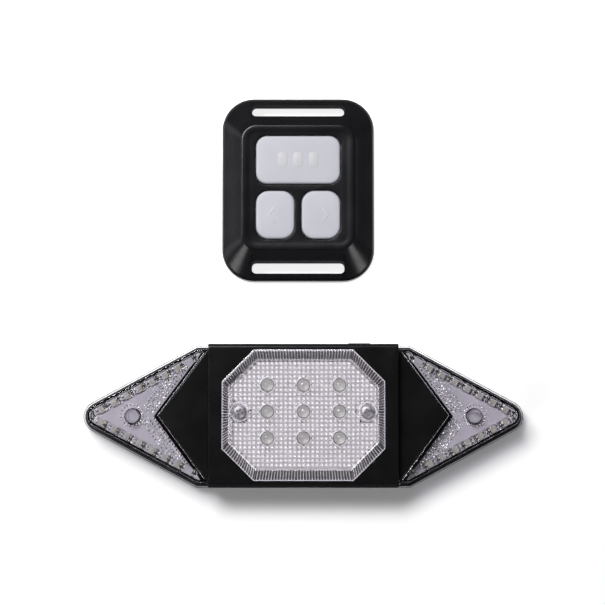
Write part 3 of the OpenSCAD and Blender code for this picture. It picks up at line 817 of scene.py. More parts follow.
@once
def semi_gloss_abs(name):
    # Moulded ABS with a light grain that breaks highlights into specks.
    return moulded(name, settings().finish.remote_black, rough=0.24, grain=0.7, depth=0.02, specular=0.3)


@once
def eroded_abs(name):
    # Upright walls left rough by the tool: no sheen even at a shallow angle.
    return moulded(name, settings().finish.remote_black, rough=0.7, grain=0.35, depth=0.01, specular=0.05)


@once
def silicone_rubber(name):
    # Moulded silicone: dull, with broad soft highlights.
    return moulded(name, linear("#1b1b1d"), rough=0.62, grain=0.3, depth=0.004, specular=0.4)


@once
def grey_silicone(name):
    # Moulded grey silicone of the wing seals, which shows as a dark line through the clear flange.
    return moulded(name, linear("#4c4b4e"), rough=0.5, grain=0.3, depth=0.004, spread=0.05)


@once
def white_silicone(name):
    # Moulded translucent silicone, which looks milky white under a clear lens.
    return moulded(name, linear("#e6e5ea"), rough=0.5, grain=0.3, depth=0.004, spread=0.03)


@once
def matte_polystyrene(name):
    # Thermoformed white polystyrene: even and matte, faintly lilac.
    return moulded(name, settings().finish.reflector, rough=0.55, grain=0.5, depth=0.003, spread=0.02)


@once
def key_plastic(name):
    # Soft-touch keys: matte, faintly mottled.
    return moulded(name, settings().finish.key_grey, rough=0.5, grain=0.3, depth=0.003, spread=0.03)


@once
def key_mark(name):
    # Marks moulded into the keys, a little lighter in colour and glossier than the keys.
    return moulded(name, settings().finish.mark_grey, rough=0.4, grain=0.3, depth=0.003, spread=0.03)


@once
def led_phosphor(name):
    # Phosphor-filled silicone in the flat LEDs: cream, waxy.
    return moulded(name, settings().finish.phosphor, rough=0.35, grain=0.2, depth=0.002, spread=0.06)


@once
def led_body(name):
    # White moulded LED package: even, with a soft sheen.
    return moulded(name, linear("#e9e7e4"), rough=0.4, grain=0.2, depth=0.002, spread=0.03)


@once
def chip_epoxy(name):
    # Moulded chip package: dull black.
    return moulded(name, linear("#1a1a1c"), rough=0.55, grain=0.15, depth=0.003)


def prismatic(name, passing):
    """Clear moulded polycarbonate with faint flow marks, rougher and tinted dark where the mesh carries
    painted shade.
    """
    made, tree, spot = new_material(name)
    frost = add_node(tree, "ShaderNodeAttribute", attribute_name="frost").outputs["Fac"]
    ramp = add_node(tree, "ShaderNodeValToRGB", {"Fac": frost})
    # Painted shade: where the mesh carries it, the lens is tinted towards near-black and made rougher.
    plain, shaded = ramp.color_ramp.elements
    plain.color = list(settings().finish.clear)
    shaded.color = linear("#0c0b0d")
    shaded.position = 0.68
    gloss = add_node(tree, "ShaderNodeMapRange", {"Value": frost, "To Min": 0.03, "To Max": 0.3})
    flow = add_node(tree, "ShaderNodeTexNoise", {"Vector": spot, "Scale": 1 / (5 * MM)})
    bump = add_node(tree, "ShaderNodeBump", {"Height": flow, "Strength": 1.0, "Distance": 0.01 * MM})
    clear_surface(tree, passing, {"Base Color": ramp, "Roughness": gloss, "Normal": bump, "IOR": 1.58})
    return made


@once
def prism_polycarbonate(name):
    # Moulded polycarbonate of the centre lens: each pillow shows as a bright dot, each rib as a bright line,
    # between painted shade in the valleys and grooves.
    return prismatic(name, "#fbf9fc")


@once
def clear_polycarbonate(name):
    # Moulded polycarbonate of the wings: bright edges, and dark specks of painted shade between the lenslets;
    # the light it lets through is tinted darker than the centre lens's, also a painted shade.
    return prismatic(name, "#cdcbd0")


@once
def clear_epoxy(name):
    # Cast epoxy of the round LEDs: clear with a faint haze.
    made, tree, spot = new_material(name)
    haze = add_node(tree, "ShaderNodeTexNoise", {"Vector": spot, "Scale": 1 / (1.5 * MM)})
    gloss = add_node(tree, "ShaderNodeMapRange", {"Value": haze, "To Min": 0.08, "To Max": 0.2})
    clear_surface(tree, "#eeeeea", {"Base Color": linear("#f4f5f0"), "Roughness": gloss, "IOR": 1.54})
    return made


@once
def metallised_sheet(name):
    # Vacuum-metallised white plastic: pale, with a soft even sheen.
    made, tree, spot = new_material(name)
    wave = add_node(tree, "ShaderNodeTexNoise", {"Vector": spot, "Scale": 1 / (4 * MM)})
    bump = add_node(tree, "ShaderNodeBump", {"Height": wave, "Strength": 1.0, "Distance": 0.006 * MM})
    base = settings().finish.bright_sheet
    cloudy_surface(tree, wave, base, spread=0.04, rough=(0.42, 0.5), inputs={
        "Normal": bump, "Metallic": 0.15})
    return made


def coated_board(name, base):
    """Solder mask over a faint glass weave."""
    made, tree, spot = new_material(name)
    weave = add_node(tree, "ShaderNodeTexChecker", {"Vector": spot, "Scale": 1 / (0.6 * MM)}).outputs["Fac"]
    cloud = add_node(tree, "ShaderNodeTexNoise", {"Vector": spot, "Scale": 1 / (3 * MM)})
    bump = add_node(tree, "ShaderNodeBump", {"Height": weave, "Strength": 0.4, "Distance": 0.01 * MM})
    cloudy_surface(tree, cloud, base, spread=0.1, rough=(0.3, 0.42), inputs={"Normal": bump})
    return made


@once
def white_solder_mask(name):
    # White printed board: bright and slightly glossy.
    return coated_board(name, settings().finish.reflector)


@once
def green_solder_mask(name):
    # Green printed board: slightly glossy over a fine weave.
    return coated_board(name, linear("#1f5a3c"))


@once
def led_reflector_cup(name):
    # Silvered cup with a pale phosphor chip, as it looks through the dome.
    made, tree, spot = new_material(name)
    speck = add_node(tree, "ShaderNodeTexNoise", {"Vector": spot, "Scale": 1 / (0.5 * MM)})
    cloudy_surface(tree, speck, settings().finish.led_cup, spread=0.12, rough=(0.25, 0.5), inputs={})
    return made


def plated(name, code, rough, grain):
    """Plated metal with fine turning marks, in millimetres."""
    made, tree, spot = new_material(name)
    mark = add_node(tree, "ShaderNodeTexNoise", {"Vector": spot, "Scale": 1 / (grain * MM), "Detail": 4.0})
    bump = add_node(tree, "ShaderNodeBump", {"Height": mark, "Strength": 1.0, "Distance": 0.004 * MM})
    cloudy_surface(tree, mark, linear(code), spread=0.08, rough=(rough - 0.08, rough + 0.08), inputs={
        "Normal": bump, "Metallic": 1.0})
    return made


@once
def zinc_plated_steel(name):
    # Zinc-plated screws and shells: grey, soft highlights.
    return plated(name, "#8e8f94", rough=0.34, grain=0.25)


@once
def satin_nickel(name):
    # Nickel-plated lens screws with a satin finish: light grey without sharp reflections.
    return plated(name, "#959498", rough=0.44, grain=0.25)


@once
def solder(name):
    # Reflowed solder: dull grey with soft highlights.
    return plated(name, "#8d8e94", rough=0.36, grain=0.3)


@once
def nickel_plated_can(name):
    # Nickel-plated coin cell: bright, with clear reflections.
    return plated(name, "#c9c8c4", rough=0.22, grain=0.4)


@once
def turned_brass(name):
    # Turned brass inserts and contacts: yellow, with fine marks.
    return plated(name, "#c9a657", rough=0.3, grain=0.2)


@once
def pouch_foil(name):
    # Laminated foil of the battery pouch: silvery and slightly creased.
    return plated(name, "#a9adb3", rough=0.42, grain=1.2)


@once
def lit_floor(name):
    # Matte white acrylic with a painted glow: it emits light in a soft patch under the remote, which fills
    # the shade in its strap slots so that they show white.
    made, tree, spot = new_material(name)
    cloud = add_node(tree, "ShaderNodeTexNoise", {"Vector": spot, "Scale": 1 / (60 * MM)})
    half = (REMOTE_HIGH - REMOTE_LOW) / 2
    away = add_node(tree, "ShaderNodeVectorMath", {0: spot, 1: REMOTE_AT.to_3d()}, operation="SUBTRACT")
    folded = add_node(tree, "ShaderNodeVectorMath", {0: away}, operation="ABSOLUTE")
    beyond = add_node(tree, "ShaderNodeVectorMath", {0: folded, 1: half}, operation="SUBTRACT")
    parts = add_node(tree, "ShaderNodeSeparateXYZ", {0: beyond}).outputs
    reach = add_node(tree, "ShaderNodeMath", {0: parts["X"], 1: parts["Y"]}, operation="MAXIMUM")
    # Painted glow: full under the remote, fading to nothing 60 mm beyond its outline.
    painted_glow = add_node(tree, "ShaderNodeMapRange", {
        "Value": reach, "From Max": 60 * MM, "To Min": 0.85, "To Max": 0.0}, interpolation_type="SMOOTHSTEP")
    cloudy_surface(tree, cloud, linear("#f6f6f6"), spread=0.004, rough=(0.8, 0.8), inputs={
        "Specular IOR Level": 0.2, "Emission Color": linear("#ffffff"), "Emission Strength": painted_glow})
    return made


# Pieces of the lamp

def side_opening(node, spare, corner, y, depth):
    """Cutter for an opening with a flared rim that a node sits in, in the lower or upper wall.

    The wall's face is at y, and spare is what the node's flanges add to its box.
    """
    low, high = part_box(node)
    middle = (low + high) / 2
    width = high.x - low.x - spare + 2 * GAP
    height = high.z - low.z - spare + 2 * GAP
    sections = []
    for grown, level in ((0, -depth), (0, -FLARE), (FLARE, 0), (FLARE, 2 * MM)):
        outline = rounded_rect(width + 2 * grown, height + 2 * grown, corner + grown, steps=6)
        sections.append((outline, level))
    bm = bmesh.new()
    close_ends(bm, loft(bm, sections))
    turn = Matrix.Rotation(math.copysign(math.pi / 2, -y), 4, "X")
    bmesh.ops.transform(bm, matrix=Matrix.Translation((middle.x, y, middle.z)) @ turn, verts=bm.verts)
    return solid("opening", bm)


def dull_walls(piece, chosen):
    """Gives the steep faces whose middle is chosen the rough finish of a moulding tool's walls."""
    piece.data.materials.append(eroded_abs())
    for face in piece.data.polygons:
        face.material_index = int(abs(face.normal.z) < STEEP and chosen(face.center))


class LampShellOperator(bpy.types.Operator):
    """Front shell of the lamp: the bevelled panel with its lens seat, and the two black arrows"""

    bl_idname = "turn_signal.lamp_shell"
    bl_label = "Lamp shell"

    def execute(self, context):
        edge = settings().shell.lamp_edge
        shell = self.panel(edge)
        for node, spare, corner, y, depth in (
                ("charging_plug", 0, PLUG_CORNER, -PANEL_HALF, PLUG_POCKET),
                ("charging_port", 0, PORT_CORNER, -PANEL_HALF + PLUG_POCKET, 2 * SHELL_WALL),
                ("power_button", POWER_FLANGES, POWER_CORNER, PANEL_HALF, 2 * SHELL_WALL)):
            combine(shell, side_opening(node, spare, corner, y, depth), "DIFFERENCE")
        self.add_arrows(shell, edge)
        smooth(shell.data)
        flatten(shell)
        finish_piece(shell, "lamp", "black_shell", satin_abs(), "lamp_housing")
        dull_walls(shell, lambda spot: abs(spot.y) > PANEL_HALF - PANEL_BEVEL)
        return {"FINISHED"}

    def panel(self, edge):
        """Bevelled panel with the seat and the window of the centre lens."""
        knee = PANEL_Z - PANEL_BEVEL
        seat_z = PANEL_Z - SEAT_DEPTH
        wall_z = PANEL_Z - SHELL_WALL

        def inset_panel(in_x, in_y):
            return rounded_rect(2 * (SEAM_X - in_x), 2 * (PANEL_HALF - in_y), edge, steps=4)

        bm = bmesh.new()
        outer = loft(bm, [
            (inset_panel(0, 0), COVER_Z),
            (inset_panel(0, 0), knee - edge),
            (inset_panel(0.05 * edge, 0.25 * edge), knee),
            (inset_panel(0.4 * SIDE_BEVEL, PANEL_BEVEL - edge), PANEL_Z - 0.3 * edge),
            (inset_panel(SIDE_BEVEL, PANEL_BEVEL + 0.4 * edge), PANEL_Z)])
        seat = loft(bm, [(lens_octagon(inset), z) for inset, z in (
            (-GAP - SEAT_EDGE, PANEL_Z), (-GAP, PANEL_Z - SEAT_EDGE), (-GAP, seat_z),
            (WINDOW_LEDGE, seat_z), (WINDOW_LEDGE, wall_z))])
        inner = loft(bm, [(inset_panel(SHELL_WALL, SHELL_WALL), z) for z in (wall_z, COVER_Z)])
        fill(bm, outer[-1], seat[0])
        fill(bm, inner[0], seat[-1])
        fill(bm, outer[0], inner[-1])
        return solid("lamp_shell", bm)

    def add_arrows(self, shell, edge):
        """Adds the two black arrows, rooted in the panel's sides."""
        half = arrow_half(SEAM_X, 0)
        root = SEAM_X - ARROW_ROOT
        arrow = [Vector(p) for p in (
            (root, -half), (SEAM_X, -half), (ARROW_TIP, 0), (SEAM_X, half), (root, half))]
        bm = bmesh.new()
        bm.from_mesh(shell.data)
        for side, _ in SIDES:
            prism(bm, to_side(arrow, side), COVER_Z, WING_Z - ARROW_STEP, edge)
        bm.to_mesh(shell.data)
        bm.free()


class LampBackOperator(bpy.types.Operator):
    """Back cover with its brass inserts, and the gaskets of the cover and the centre lens"""

    bl_idname = "turn_signal.lamp_back"
    bl_label = "Lamp back"

    def execute(self, context):
        edge = settings().shell.cover_edge
        soft_copy("back_cover", "lamp_back_cover", edge, "lamp", "black_shell", satin_abs())
        soft_copy("rack_inserts", "mount_inserts", edge, "lamp", "insert_brass", turned_brass())
        dress_node("cover_gasket", silicone_rubber())
        dress_node("lens_gasket", white_silicone())
        return {"FINISHED"}


def sheet_grid(bm, low, high, step, cells):
    """Flat grid with the cell place, relief and pit of each point, from a function of x and y."""
    layers = [bm.verts.layers.float.new(n) for n in ("cell_u", "cell_v", "relief", "pit")]
    across = math.ceil((high.x - low.x) / step.x)
    along = math.ceil((high.y - low.y) / step.y)
    rows = []
    for j in range(along + 1):
        row = []
        for i in range(across + 1):
            x, y = low.x + i * step.x, low.y + j * step.y
            point = bm.verts.new((x, y, low.z))
            for layer, value in zip(layers, cells(x, y)):
                point[layer] = value
            row.append(point)
        rows.append(row)
    for lower, upper in zip(rows, rows[1:]):
        for i in range(across):
            bm.faces.new((lower[i], lower[i + 1], upper[i + 1], upper[i]))


def relief_sheet(name, low, high, step, cells, depth, frost, material):
    """Grid with its pillows raised and its pits sunk, as a bmesh."""
    bm = bmesh.new()
    sheet_grid(bm, low, high, step, cells)
    piece = solid(name, bm, recalc=False)
    grow(piece, pillow_tree(), {"Depth": depth, "Frost": frost, "Material": material})
    bm = bmesh.new()
    bm.from_mesh(piece.data)
    discard(piece)
    return bm


def cut_plane(bm, point, normal, clear=True):
    """Cuts a sheet along an upright plane, and removes what lies outside it."""
    bmesh.ops.bisect_plane(
        bm, geom=bm.verts[:] + bm.edges[:] + bm.faces[:], dist=1e-7,
        plane_co=(point[0], point[1], 0), plane_no=(normal[0], normal[1], 0), clear_outer=clear)


def cut_to_outline(bm, points):
    """Cuts a sheet to a convex outline."""
    for a, b in zip(points, points[1:] + points[:1]):
        side = b - a
        cut_plane(bm, a, (side.y, -side.x))


def rim_loop(edges):
    """Ordered points of a closed run of edges."""
    links = {}
    for e in edges:
        for v in e.verts:
            links.setdefault(v, []).append(e)
    start = edges[0].verts[0]
    loop, here, came = [start], start, None
    while True:
        step = next(e for e in links[here] if e is not came)
        here, came = step.other_vert(here), step
        if here is start:
            return loop
        loop.append(here)


def drop_rim(bm, move):
    """Walls from a sheet's rim down to where move puts each rim point, as the new rim's loop."""
    rim = rim_loop([e for e in bm.edges if len(e.link_faces) == 1])
    foot = [bm.verts.new(move(v.co)) for v in rim]
    skin(bm, rim, foot)
    return foot


class CenterLensOperator(bpy.types.Operator):
    """Clear centre lens: fluted walls, pillow prisms under its face, LED rims and two screw wells"""

    bl_idname = "turn_signal.center_lens"
    bl_label = "Centre lens"

    def execute(self, context):
        sizes = settings().lens
        clear = prism_polycarbonate()
        bm = self.pillow_sheet(sizes, clear)
        for name in ("flute_turn", "fluted"):
            bm.verts.layers.float.new(name)
        bm.verts.layers.float_vector.new("outward")
        inner_top = lens_top(LENS_SIDE)
        inner_foot = lens_octagon(LENS_SIDE + LENS_DRAFT)
        cut_to_outline(bm, inner_top)
        spread = Vector((inner_foot[0].x / inner_top[0].x, inner_foot[2].y / inner_top[2].y))
        foot = drop_rim(bm, lambda p: (p.x * spread.x, p.y * spread.y, LENS_FOOT))
        # Painted shade along the foot of the inner walls.
        frost = bm.verts.layers.float["frost"]
        for point in foot:
            point[frost] = LENS_FOOT_SHADE
        self.outer_wall(bm, foot, sizes)
        lens = solid("center_lens_clear", bm)
        grow(lens, flute_tree(), {"Depth": sizes.flute_depth, "Material": clear})
        combine(lens, self.wells(), "UNION")
        combine(lens, self.bores(), "DIFFERENCE")
        combine(lens, self.window_rims(sizes), "UNION")
        self.frost_rims(lens.data, sizes)
        smooth(lens.data, angle=18)
        finish_piece(lens, "lamp", "clear_lens", clear, "center_lens")
        return {"FINISHED"}

    def pillow_sheet(self, sizes, clear):
        """Inner face with its pillows, which fade out towards the LED rims and the screw wells."""
        face_z = LENS_Z - LENS_WALL
        pitch = Vector([p / round(p / sizes.dimple_pitch) for p in LED_PITCH])

        def cells(x, y):
            here = Vector((x, y))
            clear_of = [(here - Vector(p)).length - sizes.window_d / 2 for p in LED_PLACES]
            clear_of += [(here - Vector(p)).length - WELL_R - WELL_WALL for p in LENS_SCREWS]
            relief = min(1.0, max(0.0, min(clear_of) / PILLOW_FADE))
            return x / pitch.x + 0.5, (y - LED_SHIFT) / pitch.y + 0.5, relief, 0.0

        step = pitch / PILLOW_STEPS
        counts = [math.ceil(LENS_HIGH.x / step.x), math.ceil((LENS_HIGH.y + LED_SHIFT) / step.y)]
        first = Vector((-counts[0] * step.x, LED_SHIFT - counts[1] * step.y, face_z))
        last = Vector((LENS_HIGH.x, LENS_HIGH.y, face_z))
        return relief_sheet(
            "lens_sheet", first, last, step, cells, sizes.dimple_depth, sizes.pillow_frost, clear)

    def outer_wall(self, bm, foot, sizes):
        """Fluted outer walls and the flat top, closed to the inner walls' foot."""
        low, high = lens_octagon(0), lens_top(0)
        flutes = [round((b - a).length / sizes.flute_pitch) for a, b in zip(low, low[1:] + low[:1])]
        rise = LENS_Z - PANEL_Z
        levels = [(0, LENS_FOOT, 0), (0, PANEL_Z + 0.1 * MM, 0)]
        for share, fluted in ((0.08, 1), (0.5, 1), (0.86, 1), (0.94, 0)):
            levels.append((share, PANEL_Z + share * rise, fluted))
        rings = []
        for lean, z, fluted in levels:
            corners = [a.lerp(b, lean) for a, b in zip(low, high)]
            rings.append(self.fluted_ring(bm, corners, flutes, z, fluted))
        rings.append(self.fluted_ring(bm, lens_top(LENS_EDGE), flutes, LENS_Z, 0))
        skin_all(bm, rings)
        bm.faces.new(rings[-1])
        fill(bm, rings[0], foot)

    def fluted_ring(self, bm, corners, flutes, z, fluted):
        """Ring round the lens with a few points to a flute, which carry what the flutes are made from."""
        turn = bm.verts.layers.float["flute_turn"]
        share = bm.verts.layers.float["fluted"]
        way = bm.verts.layers.float_vector["outward"]
        made = []
        for a, b, count in zip(corners, corners[1:] + corners[:1], flutes):
            outward = Vector((b.y - a.y, a.x - b.x, 0)).normalized()
            for i in range(FLUTE_STEPS * count):
                spot = a.lerp(b, i / (FLUTE_STEPS * count))
                point = bm.verts.new((spot.x, spot.y, z))
                point[turn] = i / FLUTE_STEPS
                point[share] = fluted
                point[way] = outward
                made.append(point)
        return made

    def wells(self):
        """Tubes round the two lens screws."""
        bm = bmesh.new()
        for spot in LENS_SCREWS:
            prism(bm, circle(spot, WELL_R + WELL_WALL), LENS_LOW.z + WASHER_T, LENS_Z - WELL_DROP)
        return solid("wells", bm)

    def bores(self):
        """Screw wells, to be cut away."""
        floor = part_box("lens_screws")[1].z - SCREW_HEAD_H
        flared = WELL_R + WELL_FLARE
        bm = bmesh.new()
        for spot in LENS_SCREWS:
            close_ends(bm, loft(bm, [(circle(spot, radius), z) for radius, z in (
                (SCREW_SHANK_R + GAP, LENS_LOW.z - 1 * MM), (SCREW_SHANK_R + GAP, floor),
                (WELL_R, floor), (WELL_R, LENS_Z - 0.2 * MM),
                (flared, LENS_Z + 0.1 * MM), (flared, LENS_Z + 1 * MM))]))
        return solid("bores", bm)

    def window_rims(self, sizes):
        """Round rims that stand down from the lens round each LED."""
        face_z = LENS_Z - LENS_WALL
        outer = sizes.window_d / 2
        bm = bmesh.new()
        for spot in LED_PLACES:
            tube(bm, spot, outer, outer - RIM_WIDTH, face_z - RIM_DROP, face_z + RIM_ROOT)
        return solid("rims", bm)

    def frost_rims(self, mesh, sizes):
        """Paints shade on the lower edges of the LED rims, which show as thin grey rings."""
        foot_z = LENS_Z - LENS_WALL - RIM_DROP
        frost = mesh.attributes["frost"].data
        reach = sizes.window_d / 2 + TOUCH
        for point in mesh.vertices:
            if abs(point.co.z - foot_z) < TOUCH:
                if any((point.co.to_2d() - Vector(p)).length < reach for p in LED_PLACES):
                    frost[point.index].value = RIM_SHADE


class BrakeLedsOperator(bpy.types.Operator):
    """Nine round LEDs with their cups, the bright sheet behind the centre lens and the screws' washers"""

    bl_idname = "turn_signal.brake_leds"
    bl_label = "Brake LEDs"

    def execute(self, context):
        low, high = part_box("brake_leds")
        dome_z = high.z - LED_R
        spots = [((x, y, 0), 0) for x, y in LED_PLACES]
        domes = place_copies("brake_led_domes", self.dome(low.z, dome_z), spots, clear_epoxy())
        finish_piece(domes, "lamp", "led_epoxy", clear_epoxy(), "brake_leds")
        cups = place_copies("brake_led_cups", self.cup(dome_z - CUP_DROP), spots, led_reflector_cup())
        finish_piece(cups, "lamp", "led_epoxy", led_reflector_cup())
        finish_piece(self.bright_sheet(), "lamp", "bright_reflector", metallised_sheet(), "center_reflector")
        finish_piece(self.washers(), "lamp", "white_board", white_solder_mask())
        return {"FINISHED"}

    def dome(self, low_z, dome_z):
        """Round LED with a flange at its foot."""
        flange_r = LED_R + LED_FLANGE
        flange_z = low_z + LED_FLANGE_T
        profile = [(0, low_z), (flange_r, low_z), (flange_r, flange_z), (LED_R, flange_z), (LED_R, dome_z)]
        profile += [(p.x, p.y) for p in arc((0, dome_z), LED_R, 9, 81, 8)] + [(0, dome_z + LED_R)]
        bm = bmesh.new()
        spin_profile(bm, profile)
        return bm

    def cup(self, z):
        """Silvered cup with its chip, inside a round LED."""
        profile = ((0, 0), (1.9, 0), (2.3, 1), (2.1, 1), (1.2, 0.5), (0, 0.4))
        bm = bmesh.new()
        spin_profile(bm, [(radius * MM, z + rise * MM) for radius, rise in profile])
        return bm

    def bright_sheet(self):
        """Sheet with holes for the LEDs and screw wells, and a rim that stands up to the lens's foot."""
        low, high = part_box("center_reflector")
        lines = [[p * (high.x / LENS_HIGH.x) for p in lens_octagon(0)]]
        lines += [circle(p, LED_R + 0.1 * MM) for p in LED_PLACES]
        lines += [circle(p, WELL_R + WELL_WALL + GAP) for p in LENS_SCREWS]
        bm = bmesh.new()
        pierced_plate(bm, lines, low.z, high.z)
        foot_z = high.z - 0.1 * MM
        ledge_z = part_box("lens_gasket")[0].z + 0.03 * MM
        rim_z = LENS_FOOT - 0.05 * MM
        outer, middle, inner = LENS_WALL + 0.1 * MM, WINDOW_LEDGE + 0.1 * MM, WINDOW_LEDGE + 0.4 * MM
        rim = loft(bm, [(lens_octagon(inset), z) for inset, z in (
            (middle, foot_z), (middle, ledge_z), (outer, ledge_z),
            (outer, rim_z), (inner, rim_z), (inner, foot_z))])
        skin(bm, rim[-1], rim[0])
        sheet = solid("bright_sheet", bm)
        smooth(sheet.data)
        return sheet

    def washers(self):
        """White washers at the bottom of the screw wells."""
        bm = bmesh.new()
        for spot in LENS_SCREWS:
            tube(bm, spot, WELL_R + WELL_WALL, SCREW_SHANK_R + GAP, LENS_LOW.z, LENS_LOW.z + WASHER_T)
        return solid("well_washers", bm)


class WingLensesOperator(bpy.types.Operator):
    """Clear arrow wings with their flanges, lenslet strips, rows of pits and screw posts"""

    bl_idname = "turn_signal.wing_lenses"
    bl_label = "Wing lenses"

    def execute(self, context):
        for side, name in SIDES:
            lens = self.wing(f"{name}_wing_clear", side)
            finish_piece(lens, "lamp", "clear_lens", clear_polycarbonate(), f"{name}_wing_lens")
        return {"FINISHED"}

    def cells(self, x, y):
        """Cell places, relief and pit depth of the wing's inner face."""
        inset = TIP_R - (x - TIP_X) * EDGE_NORMAL.x - abs(y) * EDGE_NORMAL.y
        strip = inset - FLANGE - WING_WALL
        if strip < STRIP_WIDTH:
            along = (x - TIP_X) * EDGE_ALONG.x + abs(y) * EDGE_ALONG.y
            turn = (along + FIRST_TURN_LED / EDGE_ALONG.x) / TURN_LED_PITCH
            if abs(turn - round(turn)) < STRIP_PLAIN:
                return turn + 0.5, strip / STRIP_WIDTH, PLAIN_RELIEF, 0.0
            return LENSLETS * turn, strip / LENSLET_ROW, 1.0, 0.0
        reach = math.hypot(x - POST_X, y)
        if POST_RING < reach < POST_RING + PIT_PITCH:
            turn = math.atan2(y, x - POST_X) / math.tau
            return POST_RING_PITS * turn, (reach - POST_RING) / PIT_PITCH, 0.0, PIT_DEPTH
        row = (beyond_arrow(x, y) - PIT_MARGIN) / PIT_PITCH
        beside = abs(y) * ARROW_NORMAL.x - (x - SEAM_X) * ARROW_NORMAL.y
        pitted = 0 < row < PIT_ROWS and abs(y) > PIT_TIP and reach > 2 * POST_R
        return beside / PIT_PITCH, row, FACE_RELIEF, PIT_DEPTH if pitted else 0.0

    def wing(self, name, side):
        """One wing, as a closed mesh."""
        ceiling = WING_Z - WING_TOP
        low = Vector((SEAM_X, -PANEL_HALF, ceiling))
        high = Vector((WING_HIGH.x, PANEL_HALF, ceiling))
        bm = relief_sheet(name, low, high, WING_STEP, self.cells, settings().lens.lenslet_depth,
                          LENSLET_SHADE, clear_polycarbonate())
        inset, outset = FLANGE + WING_WALL, GAP + NOTCH_WALL
        cuts = 12
        for i in range(cuts + 1):
            turn = math.radians(-TIP_SWING + 2 * TIP_SWING * i / cuts)
            normal = (math.cos(turn), math.sin(turn))
            cut_plane(bm, (TIP_X + (TIP_R - inset) * normal[0], (TIP_R - inset) * normal[1]), normal)
        for up in (1, -1):
            cut_plane(bm, (0, up * (PANEL_HALF - inset)), (0, up))
            cut_plane(bm, arrow_apex(outset), (ARROW_NORMAL.x, up * ARROW_NORMAL.y), clear=False)
        inside = [f for f in bm.faces if beyond_arrow(*f.calc_center_median().xy) < outset]
        bmesh.ops.delete(bm, geom=inside, context="FACES")
        foot = drop_rim(bm, lambda p: (p.x, p.y, COVER_Z))
        self.outside(bm, foot)
        bmesh.ops.scale(bm, vec=(side, 1, 1), verts=bm.verts)
        lens = solid(name, bm)
        bm = bmesh.new()
        prism(bm, circle((side * POST_X, 0), POST_R), POST_FOOT, ceiling + POST_ROOT)
        combine(lens, solid("post", bm), "UNION")
        smooth(lens.data, angle=24)
        flatten(lens)
        return lens

    def outside(self, bm, foot):
        """Flange, outer walls and flat top, closed to the inner walls' foot."""
        edge = FLANGE_EDGE
        flange_z = COVER_Z + FLANGE_T
        levels = [(edge, 0, COVER_Z), (0, 0, COVER_Z + edge), (0, 0, flange_z - edge), (edge, 0, flange_z),
                  (FLANGE - edge, 0, flange_z), (FLANGE, 0, flange_z + edge)]
        levels += [(FLANGE + WING_DRAFT + i, i, WING_Z - d) for i, d in quarter_round(WING_EDGE)]
        rings = loft(bm, [(chevron(i, GAP + o), z) for i, o, z in levels])
        fill(bm, rings[-1])
        fill(bm, rings[0], foot)


